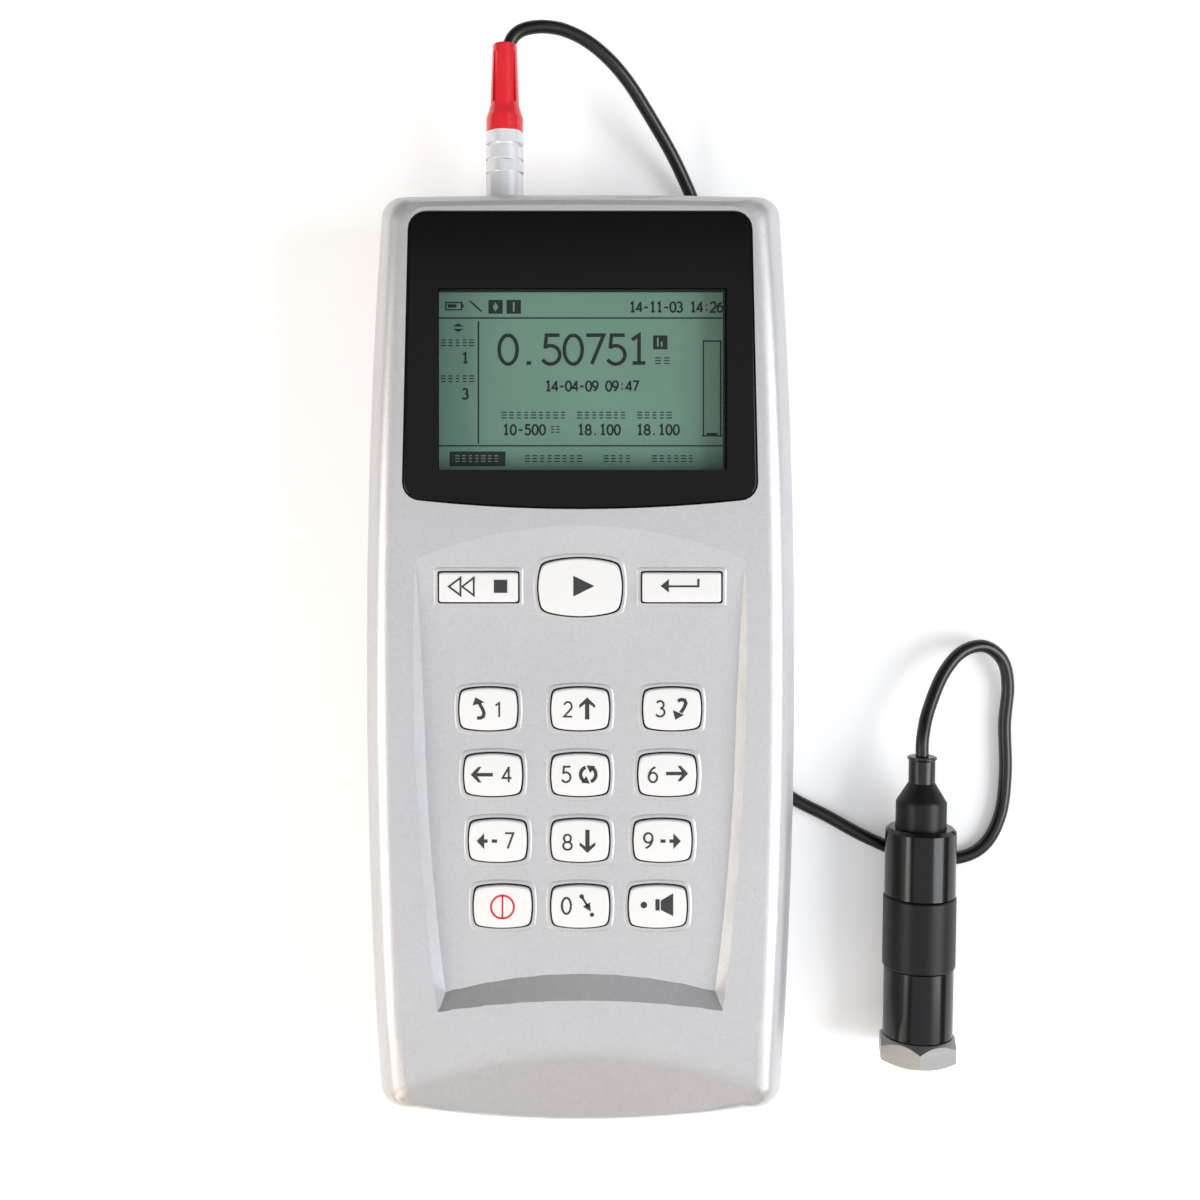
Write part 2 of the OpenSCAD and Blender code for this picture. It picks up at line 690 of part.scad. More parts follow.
module rear_shell() {
    color("darkgray") in_case() difference() {
        union() {
            difference() {
                rear_form();
                rear_cavity();
            }
            for (p = case_screw_places) translate([p[0], p[1], back_wall - over])
                cylinder(h = seam_h - back_wall + over, r = case_boss_r, $fn = 32);
            for (p = input_places) translate([p[0], p[1], back_wall - over])
                cylinder(h = input_h - back_wall + over, r = input_post_r, $fn = 24);
            translate([-bay_w / 2 - bay_wall, bay_y - bay_l / 2 - bay_wall, back_wall - over])
                cube([bay_w + 2 * bay_wall, bay_l + 2 * bay_wall, bay_top + bay_roof - back_wall + over]);
        }
        translate([-bay_w / 2, bay_y - bay_l / 2, 0]) cube([bay_w, bay_l, bay_top]);
        door_slot(fit);
        socket_hole();
        for (p = case_screw_places) {
            translate([p[0], p[1], -over]) cylinder(h = case_head_depth + over, r = case_head_r + fit, $fn = 32);
            translate([p[0], p[1], -over]) cylinder(h = case_t, r = case_screw_r + fit, $fn = 24);
        }
        for (p = foot_places) translate([p[0], p[1], -over])
            cylinder(h = foot_pocket + over, r = foot_d / 2 + fit, $fn = 48);
    }
}

module parting_seal() {
    color("dimgray") in_case() translate([0, 0, seam_h]) difference() {
        linear_extrude(seal_t) polygon(outline(seam_depth, seam_depth, seam_depth, corner_r));
        translate([0, 0, -over]) linear_extrude(seal_t + 2 * over)
            polygon(outline(wall, wall, wall, inner_corner_r));
        translate([0, 0, -seam_h]) socket_hole();
    }
}

module battery_door() {
    color("darkgray") in_case() intersection() {
        rear_form();
        difference() {
            union() {
                translate([-door_w / 2, -half_l - over, -over]) cube([door_w, door_l + over, door_t + over]);
                translate([-door_w / 2 - tongue_w, -half_l - over, tongue_h])
                    cube([door_w + 2 * tongue_w, door_l + over, tongue_t]);
            }
            for (k = [0:grip_count - 1]) translate([-grip_w / 2, grip_y + k * grip_pitch, -over])
                cube([grip_w, grip_pitch / 2, over + grip_depth]);
        }
    }
}
grip_count = 5;
grip_w = 14;
grip_pitch = 2;
grip_depth = 0.4;
grip_in = 14;
grip_y = -half_l + grip_in;

module case_screws() {
    color("gray") in_case() for (p = case_screw_places) translate([p[0], p[1], case_head_depth - case_head_t]) {
        cylinder(h = case_head_t, r = case_head_r, $fn = 32);
        cylinder(h = case_screw_l, r = case_screw_r, $fn = 24);
    }
}

module rubber_feet() {
    color("black") in_case() for (p = foot_places) translate([p[0], p[1], foot_pocket])
        rotate([180, 0, 0]) rotate_extrude($fn = 48) polygon([[0, 0], [foot_d / 2, 0],
            [foot_d / 2, foot_pocket + foot_h - foot_soft], [foot_d / 2 - foot_soft, foot_pocket + foot_h],
            [0, foot_pocket + foot_h]]);
}

// Display and boards

frame_rim = 1.2;
glass_t = 1.1;
module lcd_frame() {
    color("gray") in_case() difference() {
        translate([-lcd_w / 2, view_y - lcd_l / 2, board_top]) cube([lcd_w, lcd_l, lcd_t]);
        translate([-lcd_w / 2 + frame_rim, view_y - lcd_l / 2 + frame_rim, board_top - over])
            cube([lcd_w - 2 * frame_rim, lcd_l - 2 * frame_rim, lcd_t - frame_rim / 2 + over]);
        view_block(0, board_top, ceiling + over);
    }
}

module lcd_glass() {
    color("darkseagreen") in_case() translate([0, 0, board_top + lcd_t - frame_rim / 2 - glass_t])
        translate([-lcd_w / 2 + frame_rim, view_y - lcd_l / 2 + frame_rim, 0])
        cube([lcd_w - 2 * frame_rim, lcd_l - 2 * frame_rim, glass_t]);
}

module backlight() {
    color("white") in_case() translate([-lcd_w / 2 + frame_rim, view_y - lcd_l / 2 + frame_rim, board_top])
        cube([lcd_w - 2 * frame_rim, lcd_l - 2 * frame_rim, lcd_t - frame_rim / 2 - glass_t]);
}

module main_board() {
    length = case_l - board_end_gap - board_bottom_gap;
    color("darkgreen") in_case() difference() {
        translate([-board_w / 2, -half_l + board_bottom_gap, board_top - board_t])
            cube([board_w, length, board_t]);
        for (p = board_screw_places) translate([p[0], p[1], board_top - board_t - over])
            cylinder(h = board_t + 2 * over, r = board_screw_r + fit, $fn = 24);
    }
}

pad_share = 0.5;
mat_edge = 2.4;
module keypad_mat() {
    low = row_y - key_l / 2 - mat_edge;
    high = play_y + play_l / 2 - fit;
    wide = 2 * (board_screw_x - board_boss_r - fit);
    color("dimgray") in_case() {
        translate([-wide / 2, low, board_top]) cube([wide, high - low, mat_t]);
        for (key = KEYS) translate([key[1][0] - key[2] * pad_share / 2, key[1][1] - key[3] * pad_share / 2,
            board_top]) cube([key[2] * pad_share, key[3] * pad_share, mat_t + pad_t]);
    }
}

module board_screws() {
    color("gray") in_case() for (p = board_screw_places) translate([p[0], p[1], board_top - board_t]) {
        cylinder(h = board_t + board_screw_l, r = board_screw_r, $fn = 24);
        translate([0, 0, -board_head_t]) cylinder(h = board_head_t, r = board_head_r, $fn = 32);
    }
}

buzzer_r = 6;
buzzer_t = 4;
buzzer_x = 12;
buzzer_gap = 14.5;
module buzzer() {
    buzzer_y = bay_y + bay_l / 2 + bay_wall + buzzer_gap + buzzer_r;
    color("black") in_case() translate([buzzer_x, buzzer_y, board_top - board_t - buzzer_t])
        difference() {
            cylinder(h = buzzer_t, r = buzzer_r, $fn = 48);
            translate([0, 0, -over]) cylinder(h = over + buzzer_t / 4, r = buzzer_r / 5, $fn = 24);
        }
}

cell_xs = [-(cell_d + cell_gap) / 2, (cell_d + cell_gap) / 2];
module battery_cells() {
    color("goldenrod") in_case() for (i = [0, 1])
        translate([cell_xs[i], bay_y, cell_h]) mirror([0, i, 0]) rotate([-90, 0, 0])
        translate([0, 0, -bay_l / 2 + contact_t + fit + spring_l]) {
            cylinder(h = cell_l, r = cell_d / 2, $fn = 48);
            cylinder(h = cell_l + tip_l, r = tip_d / 2, $fn = 32);
        }
}

module battery_contacts() {
    color("silver") in_case() for (i = [0, 1])
        translate([cell_xs[i], bay_y, cell_h]) mirror([0, i, 0]) rotate([-90, 0, 0]) {
            for (z = [-bay_l / 2, bay_l / 2 - contact_t]) translate([-cell_d / 3, -cell_d / 3, z])
                cube([2 * cell_d / 3, 2 * cell_d / 3, contact_t]);
            translate([0, 0, -bay_l / 2 + contact_t]) cylinder(h = spring_l, r1 = cell_d / 4, r2 = tip_d / 2, $fn = 32);
        }
}

module input_board() {
    color("darkgreen") in_case() translate([input_x - input_w / 2, input_y - input_l / 2, input_h])
        cube([input_w, input_l, input_t]);
}

shield_share = 0.6;
shield_t = 3;
module input_shield() {
    color("silver") in_case()
        translate([input_x - input_w * shield_share / 2, input_y - input_l * shield_share / 2, input_h + input_t])
        cube([input_w * shield_share, input_l * shield_share, shield_t]);
}

// Keys

module key(name) {
    row = [for (k = KEYS) if (k[0] == name) k][0];
    w = row[2];
    l = row[3];
    top = key_top(row) - key_flange_top;
    function ring(d, z) = [for (p = key_outline(row, -d)) [p[0], p[1], z]];
    color("whitesmoke") in_case() translate([row[1][0], row[1][1], key_flange_top]) {
        loft([ring(0, -key_flange_t / 2), ring(0, top - key_soft), ring(key_soft / 3, top - key_soft / 3),
            ring(key_soft, top)]);
        translate([-w / 2 - key_flange, -l / 2 - key_flange, -key_flange_t])
            cube([w + 2 * key_flange, l + 2 * key_flange, key_flange_t]);
    }
}

// Socket and plug, turned about the socket's axis and measured along the case

module along_plug(start) {
    in_case() translate([-socket_left, start, socket_h]) rotate([-90, 0, 0]) children();
}

module connector_socket() {
    color("silver") along_plug(half_l - socket_back + over) difference() {
        union() {
            cylinder(h = socket_back - over + top_bow, r = socket_r, $fn = 48);
            translate([0, 0, socket_back - over]) cylinder(h = collar_t, r = collar_d / 2, $fn = 64);
        }
        translate([0, 0, socket_back - over + collar_t - nose_l - fit])
            cylinder(h = nose_l + fit + over, r = nose_d / 2 + run, $fn = 48);
    }
}

module socket_nut() {
    color("silver") along_plug(top_at(socket_left + hex_r, wall + fit) - hex_t) difference() {
        cylinder(h = hex_t, r = hex_r, $fn = 6);
        translate([0, 0, -over]) cylinder(h = hex_t + 2 * over, r = socket_r + run, $fn = 48);
    }
}

module plug_core() {
    color("silver") along_plug(socket_face - nose_l) difference() {
        union() {
            cylinder(h = nose_l + fit, r = nose_d / 2, $fn = 48);
            translate([0, 0, nose_l]) cylinder(h = nut_start - socket_face, r = core_r, $fn = 48);
        }
        translate([0, 0, -over]) cylinder(h = nose_bore_l + over, r = nose_bore_r, $fn = 32);
    }
}

module plug_sleeve() {
    turn_r = plug_d / 2;
    stops = [sleeve_l - 2 * band_l - 2 * groove_w, sleeve_l - 2 * band_l - groove_w,
        sleeve_l - band_l - groove_w, sleeve_l - band_l];
    color("silver") along_plug(sleeve_start) difference() {
        rotate_extrude($fn = 64) polygon([[core_r + run, 0], [turn_r, 0],
            [turn_r, stops[0]], [turn_r - groove_depth, stops[0]],
            [turn_r - groove_depth, stops[1]], [turn_r, stops[1]],
            [turn_r, stops[2]], [turn_r - groove_depth, stops[2]],
            [turn_r - groove_depth, stops[3]], [turn_r, stops[3]],
            [turn_r, sleeve_l], [core_r + run, sleeve_l]]);
        for (a = [0:60:300]) rotate(a + 30 + hex_band_turn) translate([turn_r * flat_share, -turn_r, stops[1]])
            cube([turn_r, plug_d, stops[2] - stops[1]]);
    }
}

module plug_nut() {
    color("silver") along_plug(nut_start) intersection() {
        cylinder(h = nut_l, r = plug_d / 2, $fn = 64);
        rotate(hex_band_turn) cylinder(h = nut_l, r = plug_d / 2 * flat_share / cos(30), $fn = 6);
    }
}

module plug_boot() {
    color("crimson") along_plug(nut_end) difference() {
        rotate_extrude($fn = 48) polygon([[0, 0], [plug_d / 2 - boot_wall_gap, 0],
            [plug_d / 2 - boot_wall_gap, boot_bulge_l], [boot_neck_d / 2, boot_neck_l],
            [boot_tip_d / 2 + groove_depth / 3, boot_l - groove_w], [boot_tip_d / 2, boot_l], [0, boot_l]]);
        for (a = [0:90:270]) rotate(a + 45)
            translate([boot_tip_d / 2 + groove_depth / 3 - boot_slot_depth / 2, -boot_slot_w / 2, boot_neck_l + over])
            cube([plug_d, boot_slot_w, boot_l - boot_neck_l - 4 * over]);
    }
}

// Lead: it leaves the boot, drops to the table, runs under the case and under the sensor's
// upper barrel, and turns back in a loop to the sensor. Places are from the case's middle.
LEAD = [
    [-13.4, 113.5, 17], [-12.8, 114.8, 17], [-11.7, 115.9, 17], [-10.2, 116.6, 16.9],
    [-8.2, 117, 16.7], [-6, 117.1, 16.3], [-3.3, 116.8, 15.6], [0.1, 115.6, 14.7], [3.4, 113.6, 13.6],
    [6.6, 110.9, 12.2], [9.5, 107.7, 10.5], [12.2, 104, 8.7], [15.1, 99.8, 6.7],
    [17.6, 95.9, 4.9], [20, 91.5, 3.1], [22, 87.2, 1.9], [24.2, 82, 1.45],
    [28, 70, 1.4], [30.6, 55, 1.4], [31.6, 38, 1.4], [31.2, 20, 1.4], [30.4, 3, 1.4],
    [30.8, -11, 1.4], [34, -22.5, 1.4], [40.4, -28.8, 1.4], [48, -32.9, 1.4],
    [56.4, -37.4, 1.4], [65.5, -40.9, 1.4], [73.6, -41.2, 1.4], [79, -38.6, 1.4],
    [82.2, -32.5, 1.4], [83.2, -24, 1.4], [83, -15, 1.5], [83.5, -7.4, 2],
    [82.2, -2.2, 2.9], [78.4, 0.6, 4], [73.7, -0.4, 5.3], [69.7, -4.6, 6.8],
    [66.5, -11.2, 8.7], [65.1, -16.2, 10.1], [64.9, -19.85, 10.35]];
lead_sides = 8;
lead_spans = 2;
// Point at share s of the way from point k to the next, on a smooth curve through them all
function lead_point(k) = LEAD[max(0, min(len(LEAD) - 1, k))];
function lead_at(k, s) =
    let(a = lead_point(k - 1), b = lead_point(k), c = lead_point(k + 1), d = lead_point(k + 2))
    (2 * b + (c - a) * s + (2 * a - 5 * b + 4 * c - d) * s * s + (3 * b - a - 3 * c + d) * s * s * s) / 2;
function lead_line() = concat(
    [for (k = [0:len(LEAD) - 2]) for (s = [0:lead_spans - 1]) lead_at(k, s / lead_spans)],
    [LEAD[len(LEAD) - 1]]);
function unit(v) = v / norm(v);
// It leaves the boot and enters the sensor square to their ends
function lead_heading(line, i) = i == 0 ? [0, 1, 0]
    : i == len(line) - 1 ? [sin(yaw) * cos(lean), -cos(yaw) * cos(lean), -sin(lean)]
    : unit(line[i + 1] - line[i - 1]);

module signal_lead() {
    line = lead_line();
    n = len(line);
    rings = [for (i = [0:n - 1])
        let(way = lead_heading(line, i), across = unit(cross(way, [0, 0, 1])), up = cross(across, way))
        [for (j = [0:lead_sides - 1]) let(a = 360 * (j + 0.5) / lead_sides)
            line[i] + lead_d / 2 * (cos(a) * across + sin(a) * up)]];
    color("black") translate([case_x, case_y, 0]) loft(rings);
}

// Sensor, standing on its own axis before it is laid down

module in_sensor() {
    translate([case_x + sensor_x, case_y + sensor_y, sensor_z]) rotate([0, 0, yaw])
        rotate([-90 + lean, 0, 0]) children();
}

module turned(points) {
    rotate_extrude($fn = 72) polygon(points);
}

module sensor_base() {
    past = hex_corner_r + over;
    soft = base_af / 2 - rim_soft / 2;
    color("silver") in_sensor() difference() {
        union() {
            intersection() {
                rotate(hex_turn) cylinder(h = base_h, r = hex_corner_r, $fn = 6);
                turned([[0, 0], [soft, 0], [past, (past - soft) / 2], [past, base_h - (past - soft)],
                    [soft, base_h], [0, base_h]]);
            }
            cylinder(h = base_h + spigot_l, r = spigot_r, $fn = 64);
            cylinder(h = mass_start + mass_l + preload_t, r = stud_r, $fn = 32);
        }
        translate([0, 0, -over]) cylinder(h = thread_l + over, r = thread_d / 2, $fn = 48);
    }
}

module tube(start, length, d, bore_r) {
    translate([0, 0, start]) turned([[bore_r, 0], [d / 2 - seam_depth, 0], [d / 2, seam_groove],
        [d / 2, length - seam_groove], [d / 2 - seam_depth, length], [bore_r, length]]);
}

module sensor_lower_barrel() {
    color("black") in_sensor() tube(base_h, lower_l, lower_d, lower_d / 2 - barrel_wall);
}

module sensor_middle_sleeve() {
    color("black") in_sensor() tube(lower_top, middle_l, middle_d, lower_d / 2 - barrel_wall);
}

module sensor_upper_barrel() {
    r = upper_d / 2;
    bore = neck_d / 2 + fit;
    color("black") in_sensor() translate([0, 0, middle_top]) turned([[bore, 0], [r - seam_depth, 0],
        [r, seam_groove], [r, upper_l - rim_soft], [r - rim_soft, upper_l], [bore, upper_l]]);
}

module sensor_gland() {
    r = neck_d / 2;
    tip_r = ferrule_d / 2;
    hole = lead_d / 2 + fit;
    color("black") in_sensor() turned([[hole, upper_top - screw_in], [r, upper_top - screw_in],
        [r, neck_top], [tip_r, cone_top], [hole, cone_top]]);
}

module sensor_ferrule() {
    r = ferrule_d / 2;
    color("black") in_sensor() translate([0, 0, cone_top]) turned([[0, 0], [r, 0],
        [r, ferrule_l - lip_t], [r + lip_over, ferrule_l - lip_t / 2], [r + lip_over, ferrule_l - lip_t / 4],
        [r, ferrule_l], [0, ferrule_l]]);
}

module piezo_rings() {
    color("ivory") in_sensor() for (k = [0, 1]) translate([0, 0, ring_start + k * (ring_t + ring_gap)])
        difference() {
            cylinder(h = ring_t, r = ring_r, $fn = 48);
            translate([0, 0, -over]) cylinder(h = ring_t + 2 * over, r = stud_r + run, $fn = 32);
        }
}

module seismic_mass() {
    color("dimgray") in_sensor() translate([0, 0, mass_start]) difference() {
        cylinder(h = mass_l, r = mass_r, $fn = 48);
        translate([0, 0, -over]) cylinder(h = mass_l + 2 * over, r = stud_r + run, $fn = 32);
    }
}

module preload_nut() {
    color("silver") in_sensor() translate([0, 0, mass_start + mass_l]) difference() {
        cylinder(h = preload_t, r = preload_r, $fn = 6);
        translate([0, 0, -over]) cylinder(h = preload_t + 2 * over, r = stud_r + run, $fn = 32);
    }
}

amp_t = 1;
module sensor_board() {
    amp_l = upper_l - screw_in - fit;
    amp_w = neck_d - 2 * fit;
    color("darkgreen") in_sensor() translate([-amp_w / 2, -amp_t / 2, middle_top]) cube([amp_w, amp_t, amp_l]);
}

front_shell();
rear_shell();
parting_seal();
display_window();
window_gasket();
lcd_frame();
lcd_glass();
backlight();
main_board();
keypad_mat();
key("key_rewind_stop");  // key_rewind_stop
key("key_play");  // key_play
key("key_enter");  // key_enter
key("key_1");  // key_1
key("key_2");  // key_2
key("key_3");  // key_3
key("key_4");  // key_4
key("key_5");  // key_5
key("key_6");  // key_6
key("key_7");  // key_7
key("key_8");  // key_8
key("key_9");  // key_9
key("key_power");  // key_power
key("key_0");  // key_0
key("key_sound");  // key_sound
buzzer();
battery_cells();
battery_contacts();
battery_door();
case_screws();
board_screws();
rubber_feet();
connector_socket();
socket_nut();
input_board();
input_shield();
plug_core();
plug_sleeve();
plug_nut();
plug_boot();
signal_lead();
sensor_ferrule();
sensor_gland();
sensor_upper_barrel();
sensor_middle_sleeve();
sensor_lower_barrel();
sensor_base();
piezo_rings();
seismic_mass();
preload_nut();
sensor_board();
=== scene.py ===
import math

import bmesh
import bpy
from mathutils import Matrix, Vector


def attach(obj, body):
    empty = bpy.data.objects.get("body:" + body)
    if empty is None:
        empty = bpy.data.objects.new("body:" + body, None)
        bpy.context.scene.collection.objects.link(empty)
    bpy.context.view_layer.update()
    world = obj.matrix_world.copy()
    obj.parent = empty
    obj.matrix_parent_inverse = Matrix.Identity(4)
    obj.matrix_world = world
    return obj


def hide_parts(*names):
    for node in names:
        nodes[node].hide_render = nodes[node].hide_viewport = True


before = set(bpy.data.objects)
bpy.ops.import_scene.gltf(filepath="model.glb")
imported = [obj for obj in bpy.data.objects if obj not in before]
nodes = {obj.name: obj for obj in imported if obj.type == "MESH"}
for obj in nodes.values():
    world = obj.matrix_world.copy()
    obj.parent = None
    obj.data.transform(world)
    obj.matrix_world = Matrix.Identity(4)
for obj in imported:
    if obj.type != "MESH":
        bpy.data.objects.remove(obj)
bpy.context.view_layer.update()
scene = bpy.context.scene
print("frame: %d nodes" % len(nodes))

# Sizes that several pieces share, in mm. Places are measured from the middle of the case's back.
case = {"x": -16.3222, "y": -0.4, "lift": 3.2, "width": 78.5, "length": 168.0, "thick": 28.0}
halfLength = case["length"] / 2


def at(x, y, z):
    return Vector(((case["x"] + x) / 1000, (case["y"] + y) / 1000, (case["lift"] + z) / 1000))


# Camera

camera = {"x": 3.518, "y": 23.24, "height": 296.2, "lens": 45, "sensor": 36, "shiftY": -70 / 1200}
eye = bpy.data.objects.new("camera", bpy.data.cameras.new("camera"))
scene.collection.objects.link(eye)
eye.location = at(camera["x"], camera["y"], camera["height"] - case["lift"])
eye.data.lens = camera["lens"]
eye.data.sensor_width = camera["sensor"]
eye.data.shift_y = camera["shiftY"]
eye.data.clip_start = 0.01
eye.data.clip_end = 20
scene.camera = eye
scene.view_settings.view_transform = "Standard"


# Node helper: a Wire is one socket, and sums on it add their Math nodes
class Wire:
    def __init__(self, graph, socket):
        self.graph = graph
        self.socket = socket

    def maths(self, operation, *others):
        return self.graph.add("ShaderNodeMath", {"operation": operation}, dict(enumerate((self,) + others)))

    def __add__(self, other):
        return self.maths("ADD", other)

    __radd__ = __add__

    def __sub__(self, other):
        return self.maths("SUBTRACT", other)

    def __rsub__(self, other):
        return self.graph.add("ShaderNodeMath", {"operation": "SUBTRACT"}, {0: other, 1: self})

    def __mul__(self, other):
        return self.maths("MULTIPLY", other)

    __rmul__ = __mul__

    def __truediv__(self, other):
        return self.maths("DIVIDE", other)

    def __rtruediv__(self, other):
        return self.graph.add("ShaderNodeMath", {"operation": "DIVIDE"}, {0: other, 1: self})

    def __pow__(self, other):
        return self.maths("POWER", other)

    def __gt__(self, other):
        return self.maths("GREATER_THAN", other)

    def limited(self, low=0.0, high=1.0):
        return self.maths("MAXIMUM", low).maths("MINIMUM", high)


class Graph:
    def __init__(self, tree):
        self.tree = tree

    def add(self, kind, settings=None, inputs=None, out=0):
        node = self.tree.nodes.new(kind)
        for name, value in (settings or {}).items():
            setattr(node, name, value)
        for key, value in (inputs or {}).items():
            if isinstance(value, Wire):
                self.tree.links.new(value.socket, node.inputs[key])
            else:
                node.inputs[key].default_value = value
        return Wire(self, node.outputs[out])

    def mix(self, share, one, other):
        return self.add("ShaderNodeMix", {"data_type": "RGBA"}, {0: share, 6: one, 7: other}, 2)

    def place(self, size):
        spot = self.add("ShaderNodeTexCoord", out="Object")
        return self.add("ShaderNodeMapping", None, {"Vector": spot, "Scale": size})

    def noise(self, scale, detail=2.0, rough=0.5, twist=0.0, vector=None):
        spot = vector or self.add("ShaderNodeTexCoord", out="Object")
        return self.add("ShaderNodeTexNoise", None, {"Vector": spot, "Scale": scale, "Detail": detail,
                                                     "Roughness": rough, "Distortion": twist})

    def bump(self, height, depth):
        return self.add("ShaderNodeBump", None, {"Height": height, "Distance": depth / 1000, "Strength": 1.0})


def srgb(r, g, b):
    def straight(v):
        v = v / 255
        return v / 12.92 if v <= 0.04045 else ((v + 0.055) / 1.055) ** 2.4
    return (straight(r), straight(g), straight(b), 1.0)


def finish(name, paint=None, **fixed):
    material = bpy.data.materials.new(name)
    material.use_nodes = True
    tree = material.node_tree
    shader = tree.nodes["Principled BSDF"]
    for key, value in fixed.items():
        shader.inputs[key.replace("_", " ")].default_value = value
    if paint:
        for key, wire in paint(Graph(tree)).items():
            tree.links.new(wire.socket, shader.inputs[key])
    return material


# Finishes

finishValues = {  # depths and the pitch of the display's lines are in mm
    "paintLight": srgb(222, 221, 223), "paintDark": srgb(184, 184, 187),
    "paintGrain": 800, "paintDepth": 0.03, "paintCloud": 60,
    "displayLow": srgb(124, 163, 145), "displayHigh": srgb(108, 143, 127), "displayPitch": 0.42,
}


def paintedPlastic(g):
    v = finishValues
    grain = g.noise(v["paintGrain"], 3.0, 0.6, 2.5)
    cloud = g.noise(v["paintCloud"], 2.0)
    fleck = g.noise(v["paintGrain"] * 4, 1.0)
    colour = g.mix((grain * 0.6 + cloud * 0.2 + fleck * 0.2).limited(), v["paintDark"], v["paintLight"])
    return {"Base Color": colour, "Roughness": fleck * 0.14 + 0.32, "Normal": g.bump(grain, v["paintDepth"])}


def smoothPlastic(low, high, rough, grain=1800, depth=0.003):
    def paint(g):
        cloud = g.noise(45, 3.0)
        fine = g.noise(grain, 2.0)
        return {"Base Color": g.mix(cloud, low, high), "Roughness": fine * 0.08 + rough,
                "Normal": g.bump(fine, depth)}
    return paint


def turnedMetal(low, high, rough, along, depth=0.002):
    # Fine rings left by turning: the noise is drawn out round the axis and tight along it
    def paint(g):
        rings = g.noise(1.0, 3.0, 0.6, 0.0, g.place(along))
        cloud = g.noise(120, 2.0)
        return {"Base Color": g.mix((rings * 0.6 + cloud * 0.4).limited(), low, high),
                "Roughness": rings * 0.14 + rough, "Normal": g.bump(rings, depth)}
    return paint


def displayFace(g):
    v = finishValues
    spot = g.add("ShaderNodeTexCoord", out="Object")
    across = g.add("ShaderNodeSeparateXYZ", None, {0: spot}, 1)
    lines = (across * 1000 * math.tau / v["displayPitch"]).maths("SINE") * 0.5 + 0.5
    cloud = g.noise(38, 2.0)
    colour = g.mix((lines * 0.25 + cloud * 0.75).limited(), v["displayHigh"], v["displayLow"])
    return {"Base Color": colour, "Roughness": cloud * 0.1 + 0.4}


alongY = (90, 2600, 90)  # how tight the turned rings are along each axis
finishes = {
    "paint": finish("casePaint", paintedPlastic, Metallic=0.55, Specular_IOR_Level=0.5),
    "windowBlack": finish("windowBlack", smoothPlastic(srgb(10, 10, 11), srgb(15, 15, 16), 0.1, 300, 0.0005),
                          Specular_IOR_Level=0.16),
    "windowClear": finish("windowClear", lambda g: {"Roughness": g.noise(300) * 0.03 + 0.04},
                          Base_Color=(0.02, 0.03, 0.025, 1), Alpha=0.07, Specular_IOR_Level=0.3),
    "display": finish("displayFace", displayFace, Specular_IOR_Level=0.2),
    "displayInk": finish("displayInk", smoothPlastic(srgb(14, 24, 21), srgb(20, 30, 27), 0.5)),
    "cap": finish("keyCap", smoothPlastic(srgb(232, 232, 232), srgb(240, 240, 238), 0.32, 2400, 0.004)),
    "ink": finish("keyInk", smoothPlastic(srgb(46, 47, 49), srgb(54, 55, 57), 0.4)),
    "red": finish("keyRed", smoothPlastic(srgb(210, 34, 42), srgb(220, 44, 50), 0.4)),
    "blackRubber": finish("blackRubber", smoothPlastic(srgb(12, 12, 13), srgb(22, 22, 23), 0.5, 1500, 0.01),
                          Specular_IOR_Level=0.3),
    "greyRubber": finish("greyRubber", smoothPlastic(srgb(86, 87, 90), srgb(98, 99, 102), 0.6, 1500, 0.01)),
    "darkPlastic": finish("darkPlastic", smoothPlastic(srgb(22, 22, 24), srgb(34, 34, 36), 0.38)),
    "white": finish("lightGuide", smoothPlastic(srgb(228, 230, 226), srgb(238, 240, 236), 0.5)),
    "board": finish("boardLacquer", smoothPlastic(srgb(14, 70, 36), srgb(20, 86, 44), 0.35, 700, 0.01)),
    "ceramic": finish("ceramic", smoothPlastic(srgb(226, 220, 204), srgb(238, 232, 218), 0.5)),
    "wrap": finish("cellWrap", smoothPlastic(srgb(170, 140, 60), srgb(190, 160, 80), 0.3)),
    "plug": finish("plugPlate", turnedMetal(srgb(226, 227, 230), srgb(246, 246, 248), 0.26, alongY),
                   Metallic=0.3),
    "sheet": finish("sheetMetal", turnedMetal(srgb(150, 151, 153), srgb(180, 181, 183), 0.3, (900, 60, 900)),
                    Metallic=0.9),
    "screw": finish("screwSteel", Metallic=0.9,
                    paint=turnedMetal(srgb(120, 121, 124), srgb(150, 151, 154), 0.32, (400, 400, 3000))),
    "steel": finish("baseSteel", turnedMetal(srgb(112, 111, 110), srgb(156, 155, 153), 0.32, alongY),
                    Metallic=0.8),
    "mass": finish("massMetal", turnedMetal(srgb(70, 70, 74), srgb(92, 92, 96), 0.4, alongY), Metallic=0.9),
    "boot": finish("bootRed", smoothPlastic(srgb(222, 34, 44), srgb(238, 48, 58), 0.22, 900, 0.004),
                   Coat_Weight=0.4, Coat_Roughness=0.12),
    "jacket": finish("leadJacket", smoothPlastic(srgb(13, 13, 14), srgb(21, 21, 23), 0.26, 1400, 0.004)),
    "gloss": finish("sensorGloss", turnedMetal(srgb(12, 12, 13), srgb(20, 20, 21), 0.12, alongY, 0.001),
                    Specular_IOR_Level=0.35),
    "sleeve": finish("sensorSleeve", smoothPlastic(srgb(13, 13, 15), srgb(21, 21, 23), 0.36, 1600, 0.006),
                     Specular_IOR_Level=0.3),
}
print("finishes: %d" % len(finishes))


# Mesh helpers

def meshOf(name, points, faces):
    mesh = bpy.data.meshes.new(name)
    mesh.from_pydata([tuple(p) for p in points], [], faces)
    return mesh


